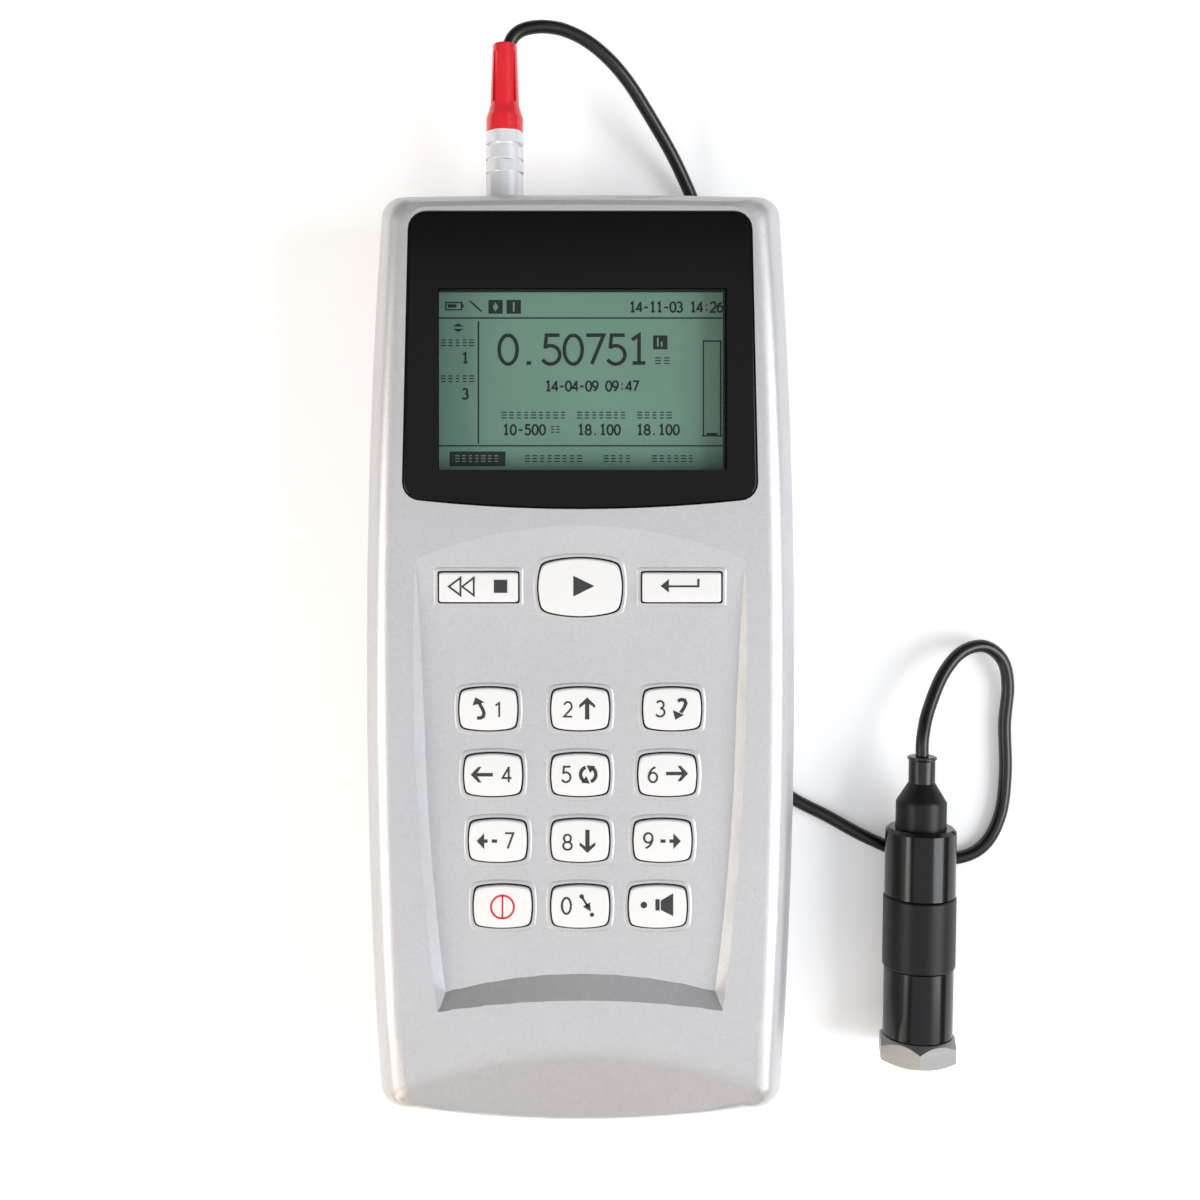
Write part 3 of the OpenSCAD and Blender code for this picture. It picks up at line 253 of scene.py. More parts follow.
def outwards(mesh):
    bm = bmesh.new()
    bm.from_mesh(mesh)
    bmesh.ops.remove_doubles(bm, verts=bm.verts, dist=1e-7)
    bmesh.ops.recalc_face_normals(bm, faces=bm.faces)
    bm.to_mesh(mesh)
    bm.free()
    return mesh


def piece(name, mesh, looks, body="meter", hides=()):
    if looks is not None:
        numbers = [f.material_index for f in mesh.polygons]
        mesh.materials.clear()
        for look in looks:
            mesh.materials.append(finishes[look])
        mesh.polygons.foreach_set("material_index", [min(k, len(looks) - 1) for k in numbers])
    made = bpy.data.objects.new(name, mesh)
    scene.collection.objects.link(made)
    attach(made, body)
    if hides:
        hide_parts(*hides)
    return made


def softened(mesh, turn=32, known=None, group=None):
    # Corner normals: known(face) gives the rule of the surface a face lies on, and others are averaged
    sameWay, ruleWeight = 0.8, 20
    faces = list(mesh.polygons)
    around = [[] for v in mesh.vertices]
    for f in faces:
        for v in f.vertices:
            around[v].append(f.index)
    rule = [known(f) if known else None for f in faces]
    sort = [group(f) if group else 0 for f in faces]
    limit = math.cos(math.radians(turn))
    normals = []
    for f in faces:
        for v in f.vertices:
            place = mesh.vertices[v].co
            if rule[f.index]:
                normals.append(rule[f.index](place))
                continue
            total = Vector()
            for k in around[v]:
                other = faces[k]
                if rule[k] and sort[f.index] == 0 and other.normal.dot(f.normal) > sameWay:
                    total += rule[k](place) * other.area * ruleWeight
                elif not rule[k] and sort[k] == sort[f.index] and other.normal.dot(f.normal) > limit:
                    total += other.normal * other.area
            normals.append(total.normalized() if total.length > 0 else f.normal.copy())
    mesh.polygons.foreach_set("use_smooth", [True] * len(faces))
    mesh.normals_split_custom_set(normals)
    return mesh


def cadCopy(name, source, turn=32, known=None, group=None):
    mesh = nodes[source].data.copy()
    mesh.name = name
    bm = bmesh.new()
    bm.from_mesh(mesh)
    bmesh.ops.remove_doubles(bm, verts=bm.verts, dist=2e-6)
    bmesh.ops.dissolve_degenerate(bm, dist=1e-7, edges=bm.edges)
    bmesh.ops.triangulate(bm, faces=bm.faces)
    bm.to_mesh(mesh)
    bm.free()
    return softened(mesh, turn, known, group)


def dressed(name, source, look, body="meter", turn=32):
    return piece(name, cadCopy(name, source, turn), [look], body, [source])


def joined(name, parts):
    # parts: (mesh, number of its material). One mesh that holds them all
    bm = bmesh.new()
    for mesh, number in parts:
        start = len(bm.faces)
        bm.from_mesh(mesh)
        bm.faces.ensure_lookup_table()
        for f in bm.faces[start:]:
            f.material_index = number
    mesh = bpy.data.meshes.new(name)
    bm.to_mesh(mesh)
    bm.free()
    return mesh


def prism(outline, low, high):
    n = len(outline)
    points = [(x, y, z) for z in (low, high) for x, y in outline]
    faces = [list(range(n - 1, -1, -1)), list(range(n, 2 * n))]
    faces += [[i, (i + 1) % n, (i + 1) % n + n, i + n] for i in range(n)]
    return outwards(meshOf("prism", points, faces))


def box(x0, y0, x1, y1, low, high):
    return prism([(x0, y0), (x1, y0), (x1, y1), (x0, y1)], low, high)


def stroke(path, width):
    # Outline of a line of one width along a path, with mitred corners
    sharpest = 0.45
    left, right = [], []
    for i, p in enumerate(path):
        here = Vector(p)
        before = here - Vector(path[i - 1]) if i else Vector(path[1]) - here
        after = Vector(path[i + 1]) - here if i < len(path) - 1 else before
        sides = [Vector((-way.y, way.x)).normalized() for way in (before, after)]
        mitre = (sides[0] + sides[1]).normalized()
        mitre *= width / 2 / max(mitre.dot(sides[0]), sharpest)
        left.append(tuple(here + mitre))
        right.append(tuple(here - mitre))
    return right + left[::-1]


def arc(x, y, r, start, end, steps=16):
    return [(x + r * math.cos(math.radians(start + (end - start) * k / steps)),
             y + r * math.sin(math.radians(start + (end - start) * k / steps))) for k in range(steps + 1)]


def disc(x, y, r):
    return arc(x, y, r, 0, 360, 20)[:-1]


def curve(x, y, rx, ry, start, end, steps=14):
    return [(x + rx * px, y + ry * py) for px, py in arc(0, 0, 1, start, end, steps)]


# Strokes of the plain digits, on a field 0.6 wide and 1 high
glyphs = {
    "0": [curve(0.3, 0.5, 0.28, 0.5, 90, 449, 28)],
    "1": [[(0.1, 0.82), (0.36, 1.0), (0.36, 0.0)]],
    "i": [[(0.1, 0.84), (0.32, 1.0), (0.32, 0.0)], [(0.12, 0.04), (0.52, 0.04)]],  # a 1 with a foot
    "2": [curve(0.3, 0.7, 0.26, 0.3, 160, -35) + [(0.04, 0.0), (0.58, 0.0)]],
    "3": [curve(0.27, 0.76, 0.24, 0.24, 150, -85), curve(0.27, 0.27, 0.29, 0.27, 88, -150)],
    "4": [[(0.62, 0.27), (0.02, 0.27), (0.44, 1.0)], [(0.44, 1.04), (0.44, 0.0)]],
    "5": [[(0.55, 1.0), (0.14, 1.0), (0.1, 0.54)], curve(0.27, 0.32, 0.29, 0.32, 128, -150)],
    "6": [curve(0.31, 0.31, 0.27, 0.31, 90, 449, 24), curve(0.62, 0.33, 0.58, 0.66, 105, 180, 8)],
    "7": [[(0.03, 1.0), (0.57, 1.0), (0.2, 0.0)]],
    "8": [curve(0.3, 0.75, 0.23, 0.25, 90, 449, 24), curve(0.3, 0.26, 0.28, 0.26, 90, 449, 24)],
    "9": [curve(0.29, 0.69, 0.27, 0.31, 90, 449, 24), curve(-0.02, 0.67, 0.58, 0.66, -75, 0, 8)],
    "-": [[(0.1, 0.46), (0.5, 0.46)]],
    ".": [[(0.2, 0.04), (0.34, 0.04)]],
    ":": [[(0.23, 0.2), (0.37, 0.2)], [(0.23, 0.7), (0.37, 0.7)]],
    " ": [],
}


def digits(text, x, y, height, pitch, low, high, weight=0.11, wide=1.0):
    # Plain digits centred on x, y, one to each pitch; sizes in mm
    # Strokes lie a hair apart in height, so that no two tops share a plane
    parts = []
    step = 0.004
    start = x - pitch * (len(text) - 1) / 2 - 0.3 * height * wide
    for place, letter in enumerate(text):
        for number, path in enumerate(glyphs[letter]):
            line = [(start + pitch * place + px * height * wide, y + (py - 0.5) * height) for px, py in path]
            parts.append((prism(stroke(line, weight * height), low, high + step * number), 0))
    return joined("digits", parts)


def plain(holder):
    # What an object's modifiers make, as a mesh of its own
    bpy.context.view_layer.update()
    return bpy.data.meshes.new_from_object(holder.evaluated_get(bpy.context.evaluated_depsgraph_get()))


# Geometry node helper: a tree with named inputs, run once and made plain

class Maker:
    def __init__(self, name, sizes):
        self.tree = bpy.data.node_groups.new(name, "GeometryNodeTree")
        self.graph = Graph(self.tree)
        self.sockets = {}
        self.tree.interface.new_socket("Geometry", in_out="INPUT", socket_type="NodeSocketGeometry")
        for size in sizes:
            self.sockets[size] = self.tree.interface.new_socket(size, in_out="INPUT",
                                                                socket_type="NodeSocketFloat")
        self.tree.interface.new_socket("Geometry", in_out="OUTPUT", socket_type="NodeSocketGeometry")
        source = self.tree.nodes.new("NodeGroupInput")
        self.inputs = {o.name: Wire(self.graph, o) for o in source.outputs if o.name}
        self.result = self.tree.nodes.new("NodeGroupOutput")

    def ends(self, geometry, look):
        real = self.graph.add("GeometryNodeRealizeInstances", None, {0: geometry})
        painted = self.graph.add("GeometryNodeSetMaterial", None, {"Geometry": real,
                                                                   "Material": finishes[look]})
        self.tree.links.new(painted.socket, self.result.inputs[0])

    def run(self, name, start=None, **sizes):
        holder = bpy.data.objects.new(name, start or bpy.data.meshes.new(name))
        scene.collection.objects.link(holder)
        step = holder.modifiers.new("maker", "NODES")
        step.node_group = self.tree
        for size, value in sizes.items():
            step[self.sockets[size].identifier] = float(value)
        mesh = plain(holder)
        holder.modifiers.remove(step)
        bpy.data.objects.remove(holder)
        mesh.name = name
        return mesh


# Lead: a black cord from the plug's boot, under the case and the sensor, into the ferrule

lead = {
    "thick": 2.5, "length": 0.29, "steps": 8,
    "route": [
        (-13.4, 113.5, 17), (-12.8, 114.8, 17), (-11.7, 115.9, 17), (-10.2, 116.6, 16.9),
        (-8.2, 117, 16.7), (-6, 117.1, 16.3), (-3.3, 116.8, 15.6), (0.1, 115.6, 14.7), (3.4, 113.6, 13.6),
        (6.6, 110.9, 12.2), (9.5, 107.7, 10.5), (12.2, 104, 8.7), (15.1, 99.8, 6.7),
        (17.6, 95.9, 4.9), (20, 91.5, 3.1), (22, 87.2, 1.9), (24.2, 82, 1.45),
        (28, 70, 1.4), (30.6, 55, 1.4), (31.6, 38, 1.4), (31.2, 20, 1.4), (30.4, 3, 1.4),
        (30.8, -11, 1.4), (34, -22.5, 1.4), (40.4, -28.8, 1.4), (48, -32.9, 1.4),
        (56.4, -37.4, 1.4), (65.5, -40.9, 1.4), (73.6, -41.2, 1.4), (79, -38.6, 1.4),
        (82.2, -32.5, 1.4), (83.2, -24, 1.4), (83, -15, 1.5), (83.5, -7.4, 2),
        (82.2, -2.2, 2.9), (78.4, 0.6, 4), (73.7, -0.4, 5.3), (69.7, -4.6, 6.8),
        (66.5, -11.2, 8.7), (65.1, -16.2, 10.1), (64.9, -19.85, 10.35)],
}


def leadLine():
    route = [Vector(p) for p in lead["route"]]
    line = []
    for k in range(len(route) - 1):
        a, b, c, d = (route[max(0, min(len(route) - 1, k + j))] for j in (-1, 0, 1, 2))
        for i in range(lead["steps"]):
            s = i / lead["steps"]
            line.append((2 * b + (c - a) * s + (2 * a - 5 * b + 4 * c - d) * s ** 2
                         + (3 * b - a - 3 * c + d) * s ** 3) / 2)
    line.append(route[-1])
    return [at(p.x, p.y, p.z - case["lift"]) for p in line]


leadPath = leadLine()
leadCurve = bpy.data.curves.new("signalLead", "CURVE")
leadCurve.dimensions = "3D"
spline = leadCurve.splines.new("POLY")
spline.points.add(len(leadPath) - 1)
for spot, p in zip(spline.points, leadPath):
    spot.co = (p.x, p.y, p.z, 1)
leadCurve.bevel_depth = lead["thick"] / 2000
leadCurve.bevel_resolution = 6
leadCurve.use_fill_caps = True
leadCurve.materials.append(finishes["jacket"])
signalLead = bpy.data.objects.new("signalLead", leadCurve)
scene.collection.objects.link(signalLead)
for s in leadCurve.splines:
    s.use_smooth = True
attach(signalLead, "meter")
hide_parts("signal_lead")
leadSum = sum((b - a).length for a, b in zip(leadPath, leadPath[1:]))
print("lead: %.4f m" % leadSum)


# Front shell: the moulded case with its dished keypad

face = {"dishDepth": 2.2, "dishR": 74.3, "dishLevelR": 45.0, "dishDown": 60.0,
        "chinR": 86.6, "chinUp": 17.4, "chinSlope": 15.0, "chinBlend": 4.0,
        "viewWidth": 51.2, "viewLength": 32.1, "viewY": halfLength - 34.1, "viewRim": 1.0, "viewDeep": 8.0,
        "near": 0.08, "upright": 0.93, "recessX": 30.5, "recessLow": -64.0, "recessHigh": 82.0,
        "recessDeep": 4.0}
dishY = halfLength - face["dishDown"] - face["dishR"]
chinY = -halfLength + face["chinUp"] - face["chinR"]


def inCase(p):
    return p.x * 1000 - case["x"], p.y * 1000 - case["y"], p.z * 1000 - case["lift"]


def dishAt(r):
    if r <= face["dishLevelR"]:
        return face["dishDepth"]
    share = (r - face["dishLevelR"]) / (face["dishR"] - face["dishLevelR"])
    return face["dishDepth"] * (1 - share ** 2)


def dishNormal(p):
    x, y, z = inCase(p)
    r = max(math.hypot(x, y - dishY), 1e-6)
    span = face["dishR"] - face["dishLevelR"]
    slope = 2 * face["dishDepth"] * max(r - face["dishLevelR"], 0) / span ** 2
    return Vector((-slope * x / r, -slope * (y - dishY) / r, 1)).normalized()


def chinFall(u):
    t = math.tan(math.radians(face["chinSlope"]))
    if u <= 0:
        return 0
    return u * u / (2 * face["chinBlend"]) * t if u < face["chinBlend"] else (u - face["chinBlend"] / 2) * t


def chinNormal(p):
    x, y, z = inCase(p)
    r = math.hypot(x, y - chinY)
    share = min(max((face["chinR"] - r) / face["chinBlend"], 0), 1)
    slope = math.tan(math.radians(face["chinSlope"])) * share
    return Vector((-slope * x / r, -slope * (y - chinY) / r, 1)).normalized()


def faceRule(f):
    # The rule of the surface that a face of the front lies on: the flat face, the dish or the chin
    x, y, z = inCase(f.center)
    if f.normal.z < face["upright"] or z < case["thick"] - face["viewDeep"]:
        return None
    if abs(z - case["thick"]) < 0.004:
        return lambda p: Vector((0, 0, 1))
    r = math.hypot(x, y - dishY)
    if r < face["dishR"] + 0.02 and abs(z - case["thick"] + dishAt(r)) < face["near"] and f.normal.z > 0.98:
        return dishNormal
    u = face["chinR"] - math.hypot(x, y - chinY)
    if u > 0 and abs(z - case["thick"] + chinFall(u)) < face["near"]:
        return chinNormal
    return None


def faceGroup(f):
    # Bevels of the recess and walls of the holes keep their own corners
    x, y, z = inCase(f.center)
    inside = abs(x) < face["recessX"] and face["recessLow"] < y < face["recessHigh"]
    return 1 if inside and case["thick"] - face["recessDeep"] < z < case["thick"] - 0.002 else 0


shellMesh = cadCopy("frontShell", "front_shell", 30, faceRule, faceGroup)
for f in shellMesh.polygons:  # the walls round the view get the black finish: painted shade of the deep opening round the display
    x, y, z = inCase(f.center)
    besideX = abs(x) < face["viewWidth"] / 2 + face["viewRim"]
    besideY = abs(y - face["viewY"]) < face["viewLength"] / 2 + face["viewRim"]
    wall = case["thick"] - face["viewDeep"] < z < case["thick"] - 0.05
    f.material_index = 1 if besideX and besideY and wall else 0
frontShell = piece("frontShell", shellMesh, ["paint", "blackRubber"], hides=["front_shell"])
rearShell = dressed("rearShell", "rear_shell", "paint", turn=30)
batteryDoor = dressed("batteryDoor", "battery_door", "paint", "battery_door_body", 30)
partingSeal = dressed("partingSeal", "parting_seal", "greyRubber")
print("case: %d faces" % len(shellMesh.polygons))


# Window: a black printed sheet with a clear view in it

window = {"width": 62.8, "taper": 2.0, "length": 52.6, "top": halfLength - 4.4, "bow": 1.5, "round": 3.2,
          "thick": 1.6, "soft": 0.55, "clearX0": -25.1, "clearX1": 26.0, "cornerSteps": 8, "bowSteps": 24}


def windowOutline(g):
    r = window["round"] + g
    topX = (window["width"] - window["taper"]) / 2 - window["round"]
    endX = window["width"] / 2 - window["round"]
    topY = window["top"] - window["round"]
    endY = window["top"] - window["length"] + window["bow"] + window["round"]
    steps, bows = window["cornerSteps"], window["bowSteps"]
    points = arc(topX, topY, r, 0, 90, steps) + arc(-topX, topY, r, 90, 180, steps)
    points += arc(-endX, endY, r, 180, 270, steps)
    for k in range(1, bows):
        s = 2 * k / bows - 1
        points.append((endX * s, endY - r - window["bow"] * (1 - s * s)))
    return points + arc(endX, endY, r, 270, 360, steps)


def windowMesh():
    soft = window["soft"]
    low = case["thick"] - window["thick"]
    high = case["thick"]
    half = face["viewLength"] / 2
    x0, x1, y0, y1 = window["clearX0"], window["clearX1"], face["viewY"] - half, face["viewY"] + half
    rings = [(0.0, low), (0.0, high - soft)]
    rings += [(soft * (1 - math.cos(a)), high - soft + soft * math.sin(a)) for a in (0.5, 1.0, math.pi / 2)]
    n = len(windowOutline(0))
    points = [at(x, y, z) for d, z in rings for x, y in windowOutline(-d)]
    faces = [[k * n + i, k * n + (i + 1) % n, (k + 1) * n + (i + 1) % n, (k + 1) * n + i]
             for k in range(len(rings) - 1) for i in range(n)]
    bm = bmesh.new()
    bm.from_mesh(meshOf("window", points, faces))
    rim = list(bm.verts)
    # Top and bottom are a frame round the clear view, each closed with its own pane
    for start, z, flip in (((len(rings) - 1) * n, high, False), (0, low, True)):
        ring = rim[start:start + n]
        corners = [bm.verts.new(at(x, y, z)) for x, y in ((x1, y1), (x0, y1), (x0, y0), (x1, y0))]
        corner = window["cornerSteps"] + 1  # the frame parts at the middle of each corner
        cuts = [k * corner + corner // 2 for k in range(3)] + [n - corner + corner // 2]
        cuts.append(cuts[0] + n)
        for k in range(4):
            run = [ring[i % n] for i in range(cuts[k], cuts[k + 1] + 1)]
            loop = run + [corners[(k + 1) % 4], corners[k]]
            bm.faces.new(loop[::-1] if flip else loop)
        pane = bm.faces.new(corners[::-1] if flip else corners)
        pane.material_index = 1
    bmesh.ops.recalc_face_normals(bm, faces=bm.faces)
    mesh = bpy.data.meshes.new("displayWindow")
    bm.to_mesh(mesh)
    bm.free()
    return mesh


windowSheet = windowMesh()
displayWindow = piece("displayWindow", softened(windowSheet, 40), ["windowBlack", "windowClear"],
                      hides=["display_window"])


# Display: grey-green glass with dark segments, all generic

display = {"top": 23.4, "inkHeight": 0.03, "squeeze": 0.99, "shift": -0.3,
           "digits": [  # text, middle x, middle y, height, pitch
               ("i4-ii-03 i4:26", 17.7, 13.4, 1.75, 1.22), ("i", -20.6, 4.25, 1.8, 1.2),
               ("3", -20.6, -2.2, 1.8, 1.2), ("i4-04-09 09:47", 2.4, -0.8, 1.75, 1.22),
               ("i0-500", -9.9, -8.65, 1.75, 1.32), ("i8.i00", 3.7, -8.65, 1.75, 1.32),
               ("i8.i00", 14.4, -8.65, 1.75, 1.32)],
           "reading": ("0.5075i", -1.0, 5.75, 5.2, 3.94),
           "lines": [  # x0, y0, x1, y1
               (-25.5, 11.3, 26.1, 11.57), (-18.35, -11.16, -18.07, 10.86), (-25.7, -11.66, 26.4, -11.4),
               (22.5, 7.16, 25.9, 7.4), (22.5, -9.8, 22.74, 7.4), (25.62, -9.8, 25.9, 7.4),
               (22.3, -9.85, 26.1, -9.6), (23.2, -9.6, 25.2, -9.2),
               (-24.25, 12.8, -21.2, 13.05), (-24.25, 14.1, -21.2, 14.35), (-24.25, 12.8, -24.0, 14.35),
               (-21.4, 12.8, -21.15, 14.35), (-21.15, 13.3, -20.9, 13.9), (-23.8, 13.3, -22.2, 13.9),
               (-16.4, 12.2, -13.8, 14.7), (-13.1, 12.2, -10.5, 14.7), (13.5, 5.8, 16.1, 8.3),
               (-23.45, -15.2, -13.3, -12.55)],
           "spots": [(-11.95, 12.6, -11.65, 14.3), (14.2, 6.3, 14.5, 7.9), (14.9, 6.3, 15.2, 7.2)],
           "words": [  # x0, x1, middle y, marks: rows of neutral marks
               (-25.2, -18.8, 6.9, 5), (-25.2, -18.8, 0.45, 5), (-14.2, -2.2, -6.1, 9), (-0.5, 8.7, -6.1, 7),
               (10.4, 17.1, -6.1, 5), (-10.0, 0.8, -13.9, 8), (4.3, 9.6, -13.9, 4), (13.1, 21.0, -13.9, 6),
               (13.6, 16.8, 3.7, 2), (-5.2, -3.3, -8.65, 2)],
           "light": [(-22.6, -14.4, -13.9, 7)]}
marks = {"rises": (-0.42, 0.1, 0.58), "height": 0.2, "fill": 0.74, "least": 0.65, "seed": 7}


def displayPlace(mesh):
    for v in mesh.vertices:
        v.co = at(v.co.x * display["squeeze"] + display["shift"], v.co.y + face["viewY"], v.co.z)
    return mesh


def markTree(look):
    # A row of short dashes, of seeded random widths
    m = Maker("markRow" + look, ["Length", "Count", "Width", "Height"])
    g, size = m.graph, m.inputs
    row = g.add("GeometryNodeMeshLine", {"mode": "END_POINTS"}, {
        "Count": g.add("FunctionNodeFloatToInt", None, {0: size["Count"]}),
        "Offset": g.add("ShaderNodeCombineXYZ", None, {0: size["Length"]})})
    cube = g.add("GeometryNodeMeshCube", None, {"Size": g.add("ShaderNodeCombineXYZ", None, {
        0: size["Width"], 1: size["Height"], 2: display["inkHeight"]})})
    pick = g.add("FunctionNodeRandomValue", {"data_type": "FLOAT"}, {2: marks["least"], 3: 1.0,
                                                                     "Seed": marks["seed"]}, 1)
    scaled = g.add("ShaderNodeCombineXYZ", None, {0: pick, 1: 1.0, 2: 1.0})
    dashes = g.add("GeometryNodeInstanceOnPoints", None, {"Points": row, "Instance": cube, "Scale": scaled})
    m.ends(dashes, look)
    return m


def wordMarks(maker, words, low, high):
    made = []
    for x0, x1, y, count in words:
        pitch = (x1 - x0) / count
        for rise in marks["rises"]:
            mesh = maker.run("marks", Length=x1 - x0 - pitch, Count=count, Width=pitch * marks["fill"],
                             Height=marks["height"])
            for v in mesh.vertices:
                v.co += Vector((x0 + pitch / 2, y + rise, (low + high) / 2))
            made.append((mesh, 0))
    return made


low, high = display["top"], display["top"] + display["inkHeight"]
inkParts = [(digits(*entry, low, high, 0.2), 0) for entry in display["digits"]]
inkParts.append((digits(*display["reading"], low, high, 0.125, 1.12), 0))
inkParts += [(box(*line, low, high), 0) for line in display["lines"]]
inkParts += wordMarks(markTree("displayInk"), display["words"], low, high)
for tip, base in ((10.5, 9.9), (8.9, 9.5)):
    inkParts.append((prism([(-22.9, base), (-20.9, base), (-21.9, tip)], low, high), 0))
inkParts.append((prism(stroke([(-19.8, 14.5), (-17.6, 12.6)], 0.3), low, high), 0))
inkMesh = displayPlace(joined("displayInk", inkParts))
displayInk = piece("displayInk", inkMesh, ["displayInk"])
low, high = high, high + display["inkHeight"]  # the light signs lie on the dark fields
lightParts = wordMarks(markTree("display"), display["light"], low, high)
lightParts.append((prism([(-15.1, 14.3), (-14.6, 13.4), (-15.1, 12.6), (-15.6, 13.4)], low, high), 0))
lightParts += [(box(*spot, low, high), 0) for spot in display["spots"]]
lightMesh = displayPlace(joined("displayLights", lightParts))
displayLights = piece("displayLights", lightMesh, ["display"])
displayGlass = dressed("displayGlass", "lcd_glass", "display")
print("display: %d faces of print" % len(inkMesh.polygons))


# Keys: crowned caps with their signs

keys = {"pitch": 11.7, "spread": 13.8, "fan": 0.85,
        "rowY": -halfLength + 40.3, "functionY": halfLength - 70.9, "functionSpread": 18.0,
        "proud": 0.9, "slim": 0.27, "soft": 0.4, "crown": 0.1, "sign": 0.02, "signRoot": 0.03,
        "signWeight": 0.125, "under": 3.9, "flange": 1.1, "flangeThick": 1.0, "around": 160}


def numberPlace(column, row):
    return column * (keys["spread"] + keys["fan"] * row), keys["rowY"] + keys["pitch"] * row


def arrowShape(x, y, long, head, stem, turn, back=0.35):
    # An arrow with swept barbs, centred on x, y and turned from pointing right
    tip, half, s = long / 2, head / 2, stem / 2
    shape = [(tip, 0), (tip - half * 0.95, half), (tip - half * 0.95 - back * 1.6, half),
             (tip - half * 0.75 - back * 0.2, s), (-tip, s), (-tip, -s),
             (tip - half * 0.75 - back * 0.2, -s), (tip - half * 0.95 - back * 1.6, -half),
             (tip - half * 0.95, -half)]
    c, n = math.cos(math.radians(turn)), math.sin(math.radians(turn))
    return [(x + px * c - py * n, y + px * n + py * c) for px, py in shape]


def wedge(x, y, long, head, turn):
    c, n = math.cos(math.radians(turn)), math.sin(math.radians(turn))
    return [(x + px * c - py * n, y + px * n + py * c) for px, py in
            ((long, 0), (0, head / 2), (0, -head / 2))]


def hollow(x, y, long, head, thick):
    # Outline of a triangle, as a closed stroke
    tip, top, low = (x + long, y), (x, y + head / 2), (x, y - head / 2)
    start = (x, y + 0.01)
    return stroke([start, top, tip, low, (x, y - 0.01)], thick)


def ringShape(x, y, r, thick, steps=28):
    outer = arc(x, y, r + thick / 2, 0, 359.5, steps)
    inner = arc(x, y, r - thick / 2, 359.5, 0, steps)
    return outer + inner


keySigns = {  # shapes in mm from the key's middle; a text is (text, x, y, height)
    "key_rewind_stop": [hollow(-3.15, 0.13, -2.05, 3.1, 0.32), hollow(-0.8, 0.13, -2.05, 3.1, 0.32),
                        [(2.75, -0.98), (5.1, -0.98), (5.1, 1.33), (2.75, 1.33)]],
    "key_play": [[(-1.2, 2.04), (-1.2, -1.64), (2.53, 0.22)]],
    "key_enter": [wedge(-2.31, 0.25, -1.46, 2.35, 0), [(-2.31, 0.0), (3.1, 0.0), (3.1, 0.36), (-2.31, 0.36)],
                  [(2.72, 0.36), (3.1, 0.36), (3.1, 1.5), (2.72, 1.5)]],
    "key_1": [stroke([(-1.95, -1.5), (-1.35, -1.55), (-0.85, -1.25), (-0.72, -0.7), (-0.95, 0.0), (-1.3, 0.6),
                      (-1.55, 1.1)], 0.6),
              [(-2.26, 2.13), (-2.75, 0.67), (-0.62, 1.24)], ("1", 1.82, -0.13, 2.5)],
    "key_2": [arrowShape(1.24, 0.15, 3.9, 2.8, 0.75, 90), ("2", -2.18, 0.0, 2.6)],
    "key_3": [stroke([(1.0, 1.45), (1.6, 1.75), (2.2, 1.6), (2.4, 1.05), (2.1, 0.3), (1.5, -0.6)], 0.6),
              [(0.53, -1.85), (0.1, -0.13), (2.1, -1.0)], ("3", -2.09, 0.09, 2.75)],
    "key_4": [arrowShape(-1.95, 0.09, 3.9, 2.75, 0.62, 180), ("4", 2.44, 0.09, 2.6)],
    "key_5": [stroke(arc(1.42, 0.13, 1.35, 110, 235, 10), 0.62),
              stroke(arc(1.42, 0.13, 1.35, -70, 55, 10), 0.62),
              wedge(0.65, -0.75, 1.3, 1.5, -35), wedge(2.2, 1.0, 1.3, 1.5, 145), ("5", -2.44, 0.13, 2.75)],
    "key_6": [arrowShape(1.7, 0.3, 3.9, 2.75, 0.62, 0), ("6", -2.6, 0.13, 2.75)],
    "key_7": [wedge(-2.4, 0.0, -1.3, 2.8, 0), [(-2.4, -0.3), (-1.8, -0.3), (-1.8, 0.3), (-2.4, 0.3)],
              [(-1.05, -0.3), (-0.1, -0.3), (-0.1, 0.3), (-1.05, 0.3)], ("7", 2.05, 0.05, 2.7)],
    "key_8": [arrowShape(1.29, -0.05, 4.1, 2.8, 0.75, -90), ("8", -2.26, -0.2, 2.7)],
    "key_9": [wedge(1.9, 0.0, 1.3, 2.8, 0), [(1.2, -0.3), (1.9, -0.3), (1.9, 0.3), (1.2, 0.3)],
              [(-0.4, -0.3), (0.5, -0.3), (0.5, 0.3), (-0.4, 0.3)], ("9", -2.53, 0.05, 2.75)],
    "key_power": [ringShape(0, 0, 2.04, 0.36), [(-0.16, -2.0), (0.16, -2.0), (0.16, 2.0), (-0.16, 2.0)]],
    "key_0": [disc(0.27, 1.86, 0.4), stroke([(0.35, 1.7), (1.35, 0.1)], 0.36),
              wedge(1.1, 0.45, 1.45, 1.5, -58), disc(2.09, -1.38, 0.38), ("0", -2.44, 0.2, 2.85)],
    "key_sound": [disc(-2.49, 0.35, 0.58), [(-0.44, -0.62), (0.31, -0.62), (0.31, 1.38), (-0.44, 1.38)],
                  [(0.5, -0.53), (2.7, -1.6), (2.7, 2.4), (0.5, 1.15)]],
}
narrowForm = (14.5, 5.8, 0.0, 0.0, 24.0)  # width, length, bows of its sides and power of its corners
playForm = (15.3, 10.8, 0.7, 1.0, 14.0)
numberForm = (10.8, 8.1, 0.4, 0.5, 12.0)
keyList = [("key_rewind_stop", (-keys["functionSpread"], keys["functionY"]), narrowForm),
           ("key_play", (0.0, keys["functionY"]), playForm),
           ("key_enter", (keys["functionSpread"], keys["functionY"]), narrowForm)]
numberRows = [("key_power", "key_0", "key_sound"), ("key_7", "key_8", "key_9"),
              ("key_4", "key_5", "key_6"), ("key_1", "key_2", "key_3")]
for row, column in [(row, column) for row in (3, 2, 1, 0) for column in (-1, 0, 1)]:
    name = numberRows[row][column + 1]
    keyList.append((name, numberPlace(column, row), numberForm))


